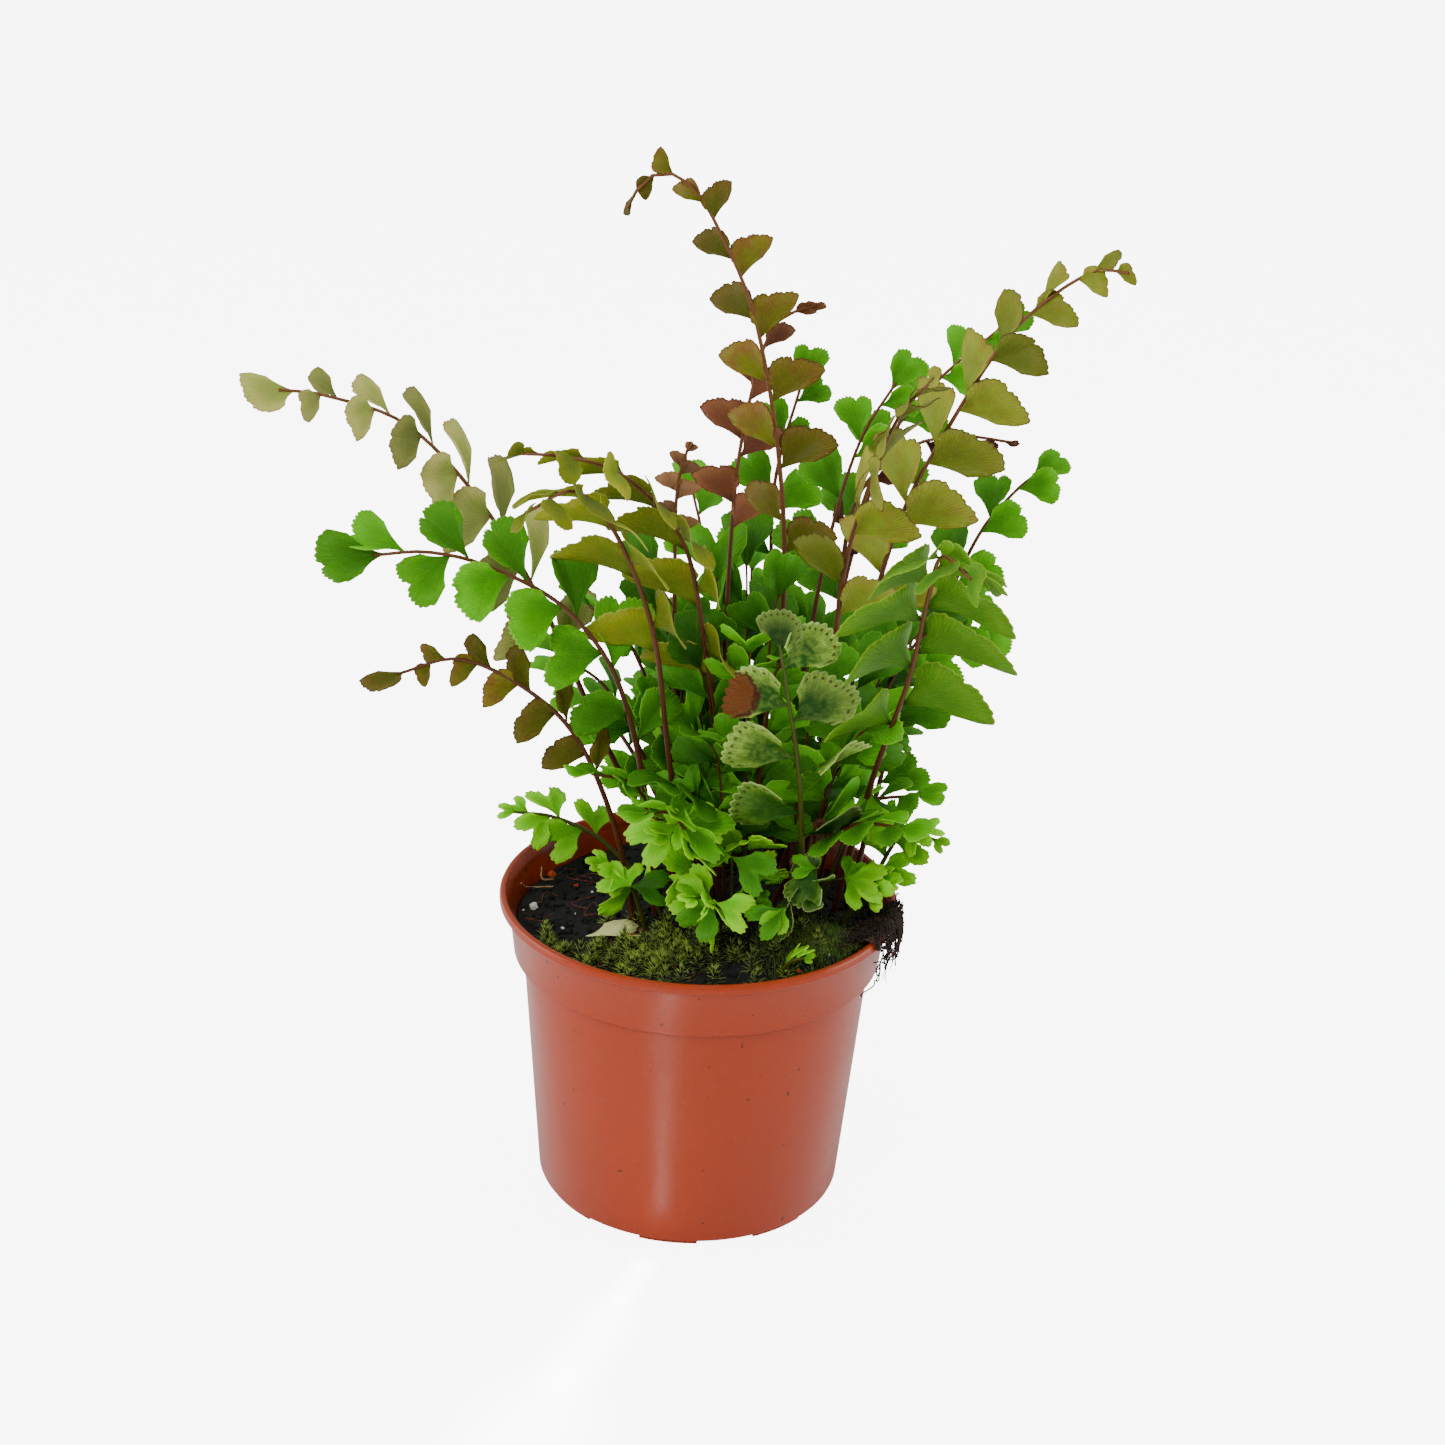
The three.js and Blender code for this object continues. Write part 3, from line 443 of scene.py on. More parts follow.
def undergrowth_frond(i):
    """The rule for the small, shaded sprays between the stems."""
    if i < LOW_UNDERGROWTH:
        angle = math.pi / 2 + LOW_SPREAD * (draw(i, 45) - 0.5)
        ring = between(LOW_RING, i, 41)
        reach, rise = between(LOW_REACH, i, 42), between(LOW_RISE, i, 43)
    else:
        angle = i * GOLDEN_ANGLE + UNDER_START
        ring = UNDER_RING[0] + UNDER_RING[1] * math.sqrt(draw(i, 41))
        reach, rise = between(UNDER_REACH, i, 42), between(UNDER_RISE, i, 43)
    path = leaning_path(UNDER_MIDDLE, angle, ring, reach, rise, UNDER_PATH)
    # Two sprays in three take the shaded green, a darker copy of green as painted shade
    return dict(kind="shaded_green" if i % 3 else "green", leaflets=4, first=0.5, taper=0.3, end=0.9,
                size=between(UNDER_SIZE, i, 44), tilt=6, path=path,
                face=(0.45 * math.cos(angle), 0.45 * math.sin(angle) - 0.25, 1))


SHOWN = [{**PLAIN, **f} for f in FRONDS]
YOUNG = [{**PLAIN, "kind": "young", "first": 0.5, "face": (0, -0.5, 1), **f} for f in JUVENILES]
SHORT = [{**PLAIN, **filler_frond(i)} for i in range(FILLERS)]
UNDER = [{**PLAIN, **undergrowth_frond(i)} for i in range(UNDERGROWTH)]


class Web:
    """Adds nodes to a tree and links them, by short calls."""

    def __init__(self, tree):
        self.tree = tree

    def fill(self, node, inputs):
        """Links the sockets among a node's inputs and writes in the plain values."""
        for key, value in inputs.items():
            if isinstance(value, bpy.types.NodeSocket):
                self.tree.links.new(value, node.inputs[key])
            else:
                node.inputs[key].default_value = value

    def add(self, kind, inputs=None, **settings):
        node = self.tree.nodes.new(kind)
        for key, value in settings.items():
            setattr(node, key, value)
        self.fill(node, inputs or {})
        return node

    def math(self, operation, a, b=0.5, clamp=False):
        return self.add("ShaderNodeMath", {0: a, 1: b}, operation=operation, use_clamp=clamp).outputs[0]

    def times(self, a, b, clamp=False):
        return self.math("MULTIPLY", a, b, clamp)

    def plus(self, a, b, clamp=False):
        return self.math("ADD", a, b, clamp)

    def minus(self, a, b):
        return self.math("SUBTRACT", a, b)

    def apart(self, a, b):
        """How far two values are from each other."""
        return self.math("ABSOLUTE", self.minus(a, b))

    def step(self, value, low, high, to_low=0.0, to_high=1.0):
        return self.add("ShaderNodeMapRange", {"Value": value, "From Min": low, "From Max": high,
                                               "To Min": to_low, "To Max": to_high},
                        interpolation_type="SMOOTHSTEP").outputs["Result"]

    def noise(self, vector, scale, detail=3.0, roughness=0.55):
        return self.add("ShaderNodeTexNoise", {"Vector": vector, "Scale": scale, "Detail": detail,
                                               "Roughness": roughness}).outputs["Fac"]

    def mix(self, factor, a, b, blend="MIX"):
        return self.add("ShaderNodeMix", {0: factor, 6: a, 7: b}, data_type="RGBA",
                        blend_type=blend).outputs[2]

    def parts(self, vector):
        """The sockets of a vector's x, y and z."""
        return self.add("ShaderNodeSeparateXYZ", {0: vector}).outputs

    def tone(self):
        """The value from 0 to 1 that a mesh's corners carry."""
        return self.add("ShaderNodeAttribute", attribute_name="tone").outputs["Fac"]

    def mottle(self, place, inputs):
        """The sockets of the patches and the specks, from the group that materials share."""
        return self.add("ShaderNodeGroup", {"Place": place, **inputs},
                        node_tree=shared("mottle", mottle_group)).outputs

    def bump(self, shader, height, strength, distance):
        node = self.add("ShaderNodeBump", {"Height": height, "Strength": strength, "Distance": distance})
        self.fill(shader, {"Normal": node.outputs[0]})


def group(name, inputs, outputs):
    """An empty shader node group with named sockets: its web, its input node and its output node."""
    tree = bpy.data.node_groups.new(name, "ShaderNodeTree")
    for socket, kind, value in inputs:
        made = tree.interface.new_socket(socket, in_out="INPUT", socket_type=kind)
        if value is not None:
            made.default_value = value
    for socket, kind in outputs:
        tree.interface.new_socket(socket, in_out="OUTPUT", socket_type=kind)
    web = Web(tree)
    return web, web.add("NodeGroupInput"), web.add("NodeGroupOutput")


def blade_group():
    """Fine forked veins that spread from the leaflet's root, and its margin."""
    web, given, out = group("Blade Pattern", [
        ("Blade", "NodeSocketVector", None), ("Veins", "NodeSocketFloat", 12.0),
        ("Margin Width", "NodeSocketFloat", 0.08), ("Wander", "NodeSocketFloat", 0.5),
    ], [("Vein", "NodeSocketFloat"), ("Margin", "NodeSocketFloat"), ("Flush", "NodeSocketFloat")])
    blade = given.outputs["Blade"]
    across, along, _ = web.parts(blade)
    across = web.plus(across, web.times(web.minus(web.noise(blade, 5.0, 2.0), 0.5), 0.06))
    lines = []
    for share in (1.0, 2.0):
        cell = web.math("FRACT", web.times(web.times(across, given.outputs["Veins"]), share))
        lines.append(web.step(web.apart(cell, 0.5), 0.34, 0.5))
    forked = web.step(along, 0.4, 0.62)
    vein = web.add("ShaderNodeMix", {0: forked, 2: lines[0], 3: lines[1]}, data_type="FLOAT").outputs[0]
    rough = web.times(web.minus(web.noise(blade, 9.0), 0.5), given.outputs["Wander"])
    edge = web.plus(web.minus(1.0, along), web.times(rough, 0.12))
    web.fill(out, {"Vein": vein, "Margin": web.step(edge, given.outputs["Margin Width"], 0.0),
                   "Flush": web.step(edge, 0.55, 0.05)})
    return web.tree


def mottle_group():
    """Patches, and fine specks, from object coordinates."""
    web, given, out = group("Mottle", [
        ("Place", "NodeSocketVector", None), ("Patch Scale", "NodeSocketFloat", PATCH_SCALE),
        ("Speck Scale", "NodeSocketFloat", 1400.0), ("Amount", "NodeSocketFloat", 0.5),
    ], [("Patches", "NodeSocketFloat"), ("Specks", "NodeSocketFloat")])
    place = given.outputs["Place"]
    patches = web.step(web.noise(place, given.outputs["Patch Scale"], 4.0), 0.38, 0.66)
    specks = web.step(web.noise(place, given.outputs["Speck Scale"], 2.0), 0.6, 0.76)
    web.fill(out, {"Patches": web.times(patches, given.outputs["Amount"]), "Specks": specks})
    return web.tree


SHARED = {}


def shared(name, maker):
    """What a maker makes, made once and kept under a name."""
    if name not in SHARED:
        SHARED[name] = maker()
    return SHARED[name]


def start_material(name):
    """A material with its web, its Principled shader and its object coordinates."""
    material = bpy.data.materials.new(name)
    material.use_nodes = True
    web = Web(material.node_tree)
    shader = web.tree.nodes["Principled BSDF"]
    return material, web, shader, web.add("ShaderNodeTexCoord").outputs["Object"]


# Leaf finishes: body, flush, margin, vein, margin width, mottle, strength of the flush, roughness
LEAF_FINISHES = {
    "bronze": ("#74780f", "#78501c", "#4a1c0a", "#98903c", 0.045, 0.5, 0.45, 0.48),
    "tinged": ("#8ca024", "#8c7c2c", "#5a3010", "#b0b454", 0.04, 0.45, 0.35, 0.48),
    "copper": ("#945438", "#8a5c2c", "#5a160a", "#bc8060", 0.07, 0.45, 0.35, 0.5),
    "bud": ("#a0704c", "#8c6838", "#7c3c20", "#c09070", 0.06, 0.45, 0.35, 0.5),
    "olive": ("#748c04", "#948c1c", "#a4ac44", "#a4b034", 0.035, 0.4, 0.3, 0.52),
    "pale": ("#98a844", "#aca45c", "#a88c58", "#c0c878", 0.05, 0.5, 0.4, 0.5),
    "grass": ("#488404", "#64900c", "#88ac2c", "#78a824", 0.035, 0.4, 0.25, 0.52),
    "green": ("#48a400", "#64b808", "#88cc2c", "#80c824", 0.04, 0.45, 0.3, 0.48),
    # The shaded green is a darker copy of green: painted shade for leaves in the shade of others
    "shaded_green": ("#327a06", "#4e960c", "#60a418", "#5ca416", 0.03, 0.45, 0.3, 0.46),
    "old": ("#165002", "#98b848", "#b0c874", "#447c1c", 0.04, 0.34, 0.62, 0.46),
    "young": ("#74e000", "#a4f000", "#b8f82c", "#b4f828", 0.035, 0.4, 0.4, 0.46),
    "dried": ("#48190c", "#6c2c16", "#1c0604", "#5a2c1a", 0.1, 0.7, 0.4, 0.6),
}
# Fronds whose colour differs from the rest of their kind
FROND_FINISHES = {"frond_front": "grass", "frond_right": "tinged", "frond_inner": "tinged",
                  "frond_left_arch": "pale", "fiddlehead": "bud"}
# How strongly veins and margin show, then shades: by a leaflet's own tone, then painted shade at its root
# that lifts with its flush towards the tip
VEIN_SHARE, MARGIN_SHARE = 0.65, 0.8
TONE_SHADES, PAINTED_ROOT_SHADE, PAINTED_SHADE_LIFT = (0.5, 1.15), 0.8, 0.28
PATCH_SCALE, OLD_PATCH_SCALE = 200.0, 520.0
# Old leaves, in metres: heights between which they grow pale, and place, edge and rim of a burnt patch
OLD_LOW, OLD_HIGH, OLD_SHADE = 0.138, 0.158, 0.3
BURNT_PLACE, BURNT_EDGE, BURNT_RIM = (0.0065, -0.046, 0.1815), (0.0105, 0.0085), 0.0098
DOT_ROW, DOT_STRETCH, DOT_EDGE = 0.88, 8.0, (0.3, 0.16)
EARTH_GRAIN, FINE_GRAIN = 420.0, 900.0


def leaf_material(kind):
    """A leaf's colours: body, flush towards the margin, veins and margin, by its blade pattern, and painted
    shade towards its root.
    """
    body, second, margin, vein, width, mottle, flush, roughness = LEAF_FINISHES[kind]
    old = kind == "old"
    material, web, shader, place = start_material(f"{kind.capitalize()} Leaf")
    uv = web.add("ShaderNodeUVMap", uv_map="blade").outputs[0]
    pattern = web.add("ShaderNodeGroup", {"Blade": uv, "Margin Width": width},
                      node_tree=shared("blade", blade_group)).outputs
    spots = web.mottle(place, {"Amount": mottle, "Patch Scale": OLD_PATCH_SCALE if old else PATCH_SCALE})
    tone = web.tone()
    share = web.times(spots["Patches"], web.plus(tone, 0.3))
    share = web.plus(share, web.times(pattern["Flush"], flush), True)
    if old:
        share = web.times(share, web.step(web.parts(place)[2], OLD_LOW, OLD_HIGH, OLD_SHADE, 1.0))
    colour = web.mix(share, linear(body), linear(second))
    colour = web.mix(web.times(pattern["Vein"], VEIN_SHARE), colour, linear(vein))
    colour = web.mix(web.times(pattern["Margin"], MARGIN_SHARE), colour, linear(margin))
    shade = web.add("ShaderNodeMapRange", {"Value": tone, "To Min": TONE_SHADES[0],
                                           "To Max": TONE_SHADES[1]}).outputs["Result"]
    # Painted shade: the leaflet darker at its root, lighter towards its tip
    depth = web.plus(web.times(pattern["Flush"], PAINTED_SHADE_LIFT), PAINTED_ROOT_SHADE)
    colour = web.mix(1.0, colour, web.times(shade, depth), "MULTIPLY")
    if old:
        colour = old_marks(web, colour, uv, tone, place)
    web.fill(shader, {"Base Color": colour, "Roughness": roughness, "Specular IOR Level": 0.15,
                      "Subsurface Weight": 0.2, "Subsurface Radius": (0.8, 1.0, 0.1),
                      "Subsurface Scale": 0.0005})
    web.bump(shader, pattern["Vein"], 0.7, 0.00016)
    return material


def old_marks(web, colour, uv, tone, place):
    """Brown dots along an old leaf's margin, and one burnt patch with a darker rim."""
    x, y, _ = web.parts(uv)
    cell = web.minus(web.math("FRACT", web.plus(web.times(x, float(MARGINS["round"][2])), tone)), 0.5)
    near = web.times(web.minus(y, DOT_ROW), DOT_STRETCH)
    away = web.math("SQRT", web.plus(web.times(cell, cell), web.times(near, near)))
    colour = web.mix(web.times(web.step(away, *DOT_EDGE), 0.8), colour, linear("#3a2a14"))
    far = web.add("ShaderNodeVectorMath", {0: place, 1: BURNT_PLACE}, operation="DISTANCE").outputs["Value"]
    far = web.plus(far, web.times(web.noise(place, 500.0), 0.004))
    colour = web.mix(web.step(far, *BURNT_EDGE), colour, linear("#6e3e14"))
    return web.mix(web.step(web.apart(far, BURNT_RIM), 0.0012, 0.0), colour, linear("#4a1606"))


def leaf_of(kind):
    """The leaf material of a kind, shared by its pieces."""
    return shared(f"{kind} leaf", lambda: leaf_material(kind))


def stem_material(name="Wiry Stem", foot="#4a2011", tip="#8c5a2c", fleck="#6a341a"):
    """A stem's colour, lighter towards its tip."""
    material, web, shader, place = start_material(name)
    grain = web.noise(place, FINE_GRAIN)
    young = web.times(web.step(web.parts(place)[2], 0.12, 0.28), 0.6)
    colour = web.mix(young, linear(foot), linear(tip))
    colour = web.mix(web.times(grain, 0.4), colour, linear(fleck))
    web.fill(shader, {"Base Color": colour, "Roughness": 0.42, "Specular IOR Level": 0.3})
    web.bump(shader, grain, 0.3, 0.0001)
    return material


def wiry_stem():
    """The stem material of the large fronds, shared."""
    return shared("wiry stem", stem_material)


def green_stem():
    """The stem material of soft stalks, shared."""
    return shared("green stem", lambda: stem_material("Green Stalk", "#3a4408", "#4a6410", "#5a4a12"))


def pot_material():
    """Satin plastic with faint patches, dust, flecks of dirt, and painted shade in the creases under the
    band and the lip.
    """
    settings = bpy.context.scene.fern_pot
    material, web, shader, place = start_material("Terracotta Plastic")
    spots = web.mottle(place, {"Patch Scale": 28.0, "Speck Scale": 900.0, "Amount": 0.3})
    colour = web.mix(spots["Patches"], (*settings.plastic, 1), linear("#9c3204"))
    colour = web.mix(web.times(spots["Specks"], 0.03), colour, linear("#d8c3b2"))
    height = web.parts(place)[2]
    # Painted shade: a dark line just under the band and under the lip, where shade falls
    for level, depth in PAINTED_CREASE_SHADES:
        painted_crease_shade = web.times(web.step(web.apart(height, level * MM), *PAINTED_SHADE_FADE), depth)
        colour = web.mix(painted_crease_shade, colour, linear("#4c1606"))
    dirt = web.times(web.step(web.noise(place, 330.0, 1.0), 0.74, 0.78), 0.7)
    colour = web.mix(dirt, colour, linear("#4c1c0c"))
    web.fill(shader, {
        "Base Color": colour, "Roughness": web.step(web.noise(place, 60.0), 0.3, 0.7, 0.28, 0.34),
        "Specular IOR Level": 0.34, "Coat Weight": 0.15, "Coat Roughness": 0.2,
    })
    web.bump(shader, web.noise(place, 350.0), 0.06, 0.0002)
    return material


def earth_material(name, dark, light, specks, scale=EARTH_GRAIN):
    """Dull, grainy matter: peat, bark, roots and perlite."""
    material, web, shader, place = start_material(name)
    grain = web.noise(place, scale, 6.0, 0.65)
    coarse = web.noise(place, scale / 6, 3.0)
    colour = web.mix(web.step(grain, 0.35, 0.72), linear(dark), linear(light))
    colour = web.mix(web.step(coarse, 0.56, 0.72), colour, linear(specks))
    web.fill(shader, {"Base Color": colour, "Roughness": 0.92})
    web.bump(shader, grain, 0.8, 0.0006)
    return material


def toned_mesh():
    """An empty bmesh whose corners carry a tone."""
    bm = bmesh.new()
    bm.verts.layers.float.new("tone")
    return bm


def leaf_mesh():
    """An empty bmesh with the layers that a leaf material reads."""
    bm = toned_mesh()
    bm.loops.layers.uv.new("blade")
    return bm


def mesh_of(name, bm):
    """A mesh from a bmesh, which is freed."""
    mesh = bpy.data.meshes.new(name)
    bm.to_mesh(mesh)
    bm.free()
    return mesh


def place_object(name, data):
    """A new object, linked to the scene."""
    made = bpy.data.objects.new(name, data)
    bpy.context.scene.collection.objects.link(made)
    return made


def finish(name, bm, materials, node=None, smooth=True):
    """Makes a piece of a bmesh and ties it to the frame."""
    mesh = mesh_of(name, bm)
    for material in materials:
        mesh.materials.append(material)
    if smooth:
        mesh.shade_smooth()
    piece = place_object(name, mesh)
    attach(piece, BODY)
    if node:
        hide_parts(node)
    return piece


def add_tubes(bm, lines, roundness, slot_index=0):
    """Tubes along lines of points with a radius each, all in millimetres, added to a bmesh."""
    curve = bpy.data.curves.new("line", "CURVE")
    curve.dimensions = "3D"
    curve.bevel_depth = 1.0
    curve.bevel_resolution = roundness
    curve.use_fill_caps = True
    for line in lines:
        spline = curve.splines.new("POLY")
        spline.points.add(len(line) - 1)
        for point, (place, radius) in zip(spline.points, line):
            point.co = (*(place * MM), 1)
            point.radius = radius * MM
    holder = bpy.data.objects.new("line", curve)
    mesh = bpy.data.meshes.new_from_object(holder)
    for face in mesh.polygons:
        face.material_index = slot_index
    bm.from_mesh(mesh)
    bpy.data.objects.remove(holder)
    bpy.data.curves.remove(curve)
    bpy.data.meshes.remove(mesh)


def spun(profile, steps):
    """A closed shell turned about the pot's axis from radius and height pairs in millimetres."""
    bm = bmesh.new()
    corners = [bm.verts.new((r * MM, 0, z * MM)) for r, z in profile]
    edges = [bm.edges.new(pair) for pair in zip(corners, corners[1:])]
    bmesh.ops.spin(bm, geom=corners + edges, cent=(0, 0, 0), axis=(0, 0, 1), angle=2 * math.pi,
                   steps=steps, use_merge=True)
    bmesh.ops.remove_doubles(bm, verts=bm.verts, dist=1e-6)
    bmesh.ops.recalc_face_normals(bm, faces=bm.faces)
    return bm


class FernPot(bpy.types.PropertyGroup):
    """The pot"""
    plastic: FloatVectorProperty(name="Plastic", description="Colour of the pot", subtype="COLOR",
                                 default=(0.372, 0.033, 0.0), min=0, max=1)
    wall: FloatProperty(name="Wall", description="Thickness of the wall", default=WALL * MM,
                        unit="LENGTH")


class FernGround(bpy.types.PropertyGroup):
    """The soil and what lies on it"""
    crumbs: IntProperty(name="Crumbs", description="Number of peat crumbs", default=900)
    moss: IntProperty(name="Moss", description="Number of moss sprigs", default=160)
    grit: IntProperty(name="Perlite", description="Number of white grains", default=14)


class FernLeaves(bpy.types.PropertyGroup):
    """The leaflets"""
    thickness: FloatProperty(name="Thickness", description="Thickness of a leaflet", default=0.00022,
                             unit="LENGTH")
    stem_foot: FloatProperty(name="Stem Foot", description="Radius of a stem at its foot",
                             default=0.00105, unit="LENGTH")
    stem_tip: FloatProperty(name="Stem Tip", description="Radius of a stem at its tip",
                            default=0.00045, unit="LENGTH")
    wave: FloatProperty(name="Wave", description="Waviness of a leaflet, in its lengths", default=0.05)


class FernStage(bpy.types.PropertyGroup):
    """The floor, the lights and the camera"""
    floor: FloatVectorProperty(name="Floor", description="Colour of the floor", subtype="COLOR",
                               default=(0.9, 0.9, 0.9), min=0, max=1)
    key: FloatProperty(name="Key", description="Power of the key light", default=9.0, unit="POWER")
    sky: FloatProperty(name="Sky", description="Strength of the light from all sides", default=0.55)
    low: FloatProperty(name="Low", description="Power of the low lights, in watts a square metre",
                       default=11.0)


class PotOperator(bpy.types.Operator):
    """Turns the pot, draws its feet down and drills its floor"""
    bl_idname = "fern.make_pot"
    bl_label = "Pot"

    def execute(self, context):
        wall = context.scene.fern_pot.wall / MM
        band_foot, lip_foot = POT_HEIGHT - BAND_HEIGHT, POT_HEIGHT - LIP_HEIGHT
        bm = spun([
            (0, BASE_RECESS), (BASE_RADIUS, BASE_RECESS), (BODY_FOOT_RADIUS - 1.4, BASE_RECESS),
            (BODY_FOOT_RADIUS - 0.4, BASE_RECESS + 0.4), (BODY_FOOT_RADIUS, BASE_RECESS + 1.4),
            (BODY_TOP_RADIUS - 0.15, band_foot - 0.4), (BODY_TOP_RADIUS + 0.2, band_foot),
            (BAND_FOOT_RADIUS - 0.4, band_foot), (BAND_FOOT_RADIUS, band_foot + 0.4),
            (BAND_TOP_RADIUS - 0.05, lip_foot - 0.5), (BAND_TOP_RADIUS + 0.3, lip_foot),
            (RIM_RADIUS - 0.4, lip_foot), (RIM_RADIUS, lip_foot + 0.5), (RIM_RADIUS, POT_HEIGHT - 1.1),
            (RIM_RADIUS - 0.35, POT_HEIGHT - 0.3), (RIM_RADIUS - 1, POT_HEIGHT),
            (RIM_RADIUS - LIP_WIDTH + 0.2, POT_HEIGHT - 0.2),
            (RIM_RADIUS - LIP_WIDTH - 0.3, POT_HEIGHT - 1),
            (BAND_TOP_RADIUS - wall, lip_foot - 1), (BAND_FOOT_RADIUS - wall, band_foot + wall),
            (BODY_TOP_RADIUS - wall, band_foot - wall), (BODY_FOOT_RADIUS - wall, FLOOR_HEIGHT),
            (0, FLOOR_HEIGHT),
        ], TURN_STEPS)
        feet = []
        for face in bm.faces:
            middle = face.calc_center_median()
            radius = middle.xy.length / MM
            angle = (math.atan2(middle.y, middle.x) - FIRST_FOOT + FOOT_ANGLE / 2) % (2 * math.pi / FEET)
            if middle.z < (BASE_RECESS + 0.01) * MM and radius > BASE_RADIUS and angle < FOOT_ANGLE:
                feet.append(face)
        made = bmesh.ops.extrude_face_region(bm, geom=feet)
        bmesh.ops.delete(bm, geom=feet, context="FACES_ONLY")
        lowered = [v for v in made["geom"] if isinstance(v, bmesh.types.BMVert)]
        bmesh.ops.translate(bm, verts=lowered, vec=(0, 0, -BASE_RECESS * MM))
        pot = finish("nursery_pot", bm, [pot_material()], "pot")
        drill = bmesh.new()
        for i in range(DRAIN_HOLES):
            angle = 2 * math.pi * i / DRAIN_HOLES
            place = Matrix.Translation((DRAIN_CIRCLE * MM * math.cos(angle),
                                        DRAIN_CIRCLE * MM * math.sin(angle), 0))
            bmesh.ops.create_cone(drill, cap_ends=True, segments=32, radius1=DRAIN_RADIUS * MM,
                                  radius2=DRAIN_RADIUS * MM, depth=4 * FLOOR_HEIGHT * MM, matrix=place)
        cutter = place_object("drill", mesh_of("drill", drill))
        cut = pot.modifiers.new("holes", "BOOLEAN")
        cut.operation, cut.object, cut.solver = "DIFFERENCE", cutter, "EXACT"
        context.view_layer.update()
        bored = bpy.data.meshes.new_from_object(pot.evaluated_get(context.evaluated_depsgraph_get()))
        pot.modifiers.clear()
        pot.data = bored
        bpy.data.objects.remove(cutter)
        pot.data.shade_smooth()
        pot.data.set_sharp_from_angle(angle=SHARP_ANGLE)
        return {"FINISHED"}


class SoilOperator(bpy.types.Operator):
    """Fills the pot with peat and lays crumbs, perlite, bark chips and loose roots on it"""
    bl_idname = "fern.make_soil"
    bl_label = "Soil"

    def execute(self, context):
        settings = context.scene.fern_ground
        chance = random.Random(11)
        peat = earth_material("Peat", "#040404", "#13100d", "#1d1812")
        self.make_peat(peat)

        crumbs = bmesh.new()
        for _ in range(settings.crumbs):
            angle = chance.uniform(0, 2 * math.pi)
            x, y = polar(LITTER_RADIUS * math.sqrt(chance.random()), angle)
            lay_lump(crumbs, chance, x, y, chance.uniform(0.4, 1.5), 0.3)
        finish("peat_crumbs", crumbs, [peat], smooth=False)

        grit = bmesh.new()
        for _ in range(settings.grit):
            angle = chance.uniform(*GRIT_ARC)
            x, y = polar(chance.uniform(30, LITTER_RADIUS), angle)
            lay_lump(grit, chance, x, y, chance.uniform(0.25, 0.6))
        scatter_lump(grit, chance, *BIG_GRAIN, soil_height(*BIG_GRAIN) + BIG_GRAIN_RISE, BIG_GRAIN_SIZE)
        finish("perlite", grit, [earth_material("Perlite", "#c9c5bb", "#f2efe8", "#e2ded2")],
               smooth=False)

        chips = bmesh.new()
        for x, y, size in CHIPS:
            lay_lump(chips, chance, x, y, size)
        finish("bark_chips", chips, [earth_material("Bark", "#8a2c08", "#c0521a", "#8a4a1e")],
               smooth=False)

        lines = [drawn([Vector(p) for p in strand], 12, PALE_ROOT_RADIUS) for strand in ROOT_STRANDS]
        self.lay_roots("pale_roots", lines, "Pale Root", "#9a7450", "#c8a27c", "#b08a62")
        lines = []
        for _ in range(SOIL_ROOTS):
            angle = chance.uniform(*ROOT_ARC)
            x, y = polar(chance.uniform(18, 48), angle)
            marks = []
            for _ in range(5):
                marks.append(Vector((x, y, soil_height(x, y) + chance.uniform(0.1, 1.4))))
                x, y = x + chance.gauss(0, 3), y + chance.gauss(0, 3)
            lines.append(drawn(marks, 16, SOIL_ROOT_RADIUS))
        self.lay_roots("soil_roots", lines, "Soil Root", "#4a2212", "#7c4a30", "#643822")
        return {"FINISHED"}

    @staticmethod
    def make_peat(peat):
        """Turns the peat to fit the pot, and roughens its surface."""
        band_foot, inside = POT_HEIGHT - BAND_HEIGHT, WALL + GAP
        rings = [(SOIL_EDGE_RADIUS * (1 - i / SOIL_RINGS), SOIL_LEVEL) for i in range(1, SOIL_RINGS)]
        bm = spun([
            (0, FLOOR_HEIGHT + GAP), (BODY_FOOT_RADIUS - inside, FLOOR_HEIGHT + GAP),
            (BODY_TOP_RADIUS - inside, band_foot - WALL), (BAND_FOOT_RADIUS - inside, band_foot + WALL),
            (SOIL_EDGE_RADIUS, SOIL_LEVEL), *rings, (0, SOIL_LEVEL),
        ], SOIL_STEPS)
        for vert in bm.verts:
            if vert.co.z > (SOIL_LEVEL - 0.01) * MM:
                x, y = vert.co.x / MM, vert.co.y / MM
                rough = noise.fractal(Vector((x, y, 0)) * 0.35, 0.8, 2.1, 5) * 0.9
                vert.co.z = (soil_height(x, y) + rough) * MM
        bmesh.ops.recalc_face_normals(bm, faces=bm.faces)
        finish("peat", bm, [peat], "soil")

    @staticmethod
    def lay_roots(name, lines, *colours):
        """A piece of thin, loose roots. Its colours start with the material's name."""
        strands = bmesh.new()
        add_tubes(strands, lines, 1)
        finish(name, strands, [earth_material(*colours, FINE_GRAIN)])


def lay_lump(bm, chance, x, y, size, rise=0.6):
    """A crumb on the soil, raised by a share of its size."""
    scatter_lump(bm, chance, x, y, soil_height(x, y) + size * rise, size)


def scatter_lump(bm, chance, x, y, z, size):
    """A crumb of a few faces, squeezed and turned."""
    turn = Quaternion((chance.uniform(-1, 1), chance.uniform(-1, 1), 1), chance.uniform(0, 6.28))
    shape = Matrix.Diagonal((chance.uniform(0.7, 1.5), 1, chance.uniform(0.5, 0.9), 1))
    place = Matrix.Translation(Vector((x, y, z)) * MM) @ turn.to_matrix().to_4x4() @ shape
    made = bmesh.ops.create_icosphere(bm, subdivisions=1, radius=size * MM, matrix=place)
    centre = Vector((x, y, z)) * MM
    for vert in made["verts"]:
        vert.co = centre + (vert.co - centre) * chance.uniform(0.7, 1.15)


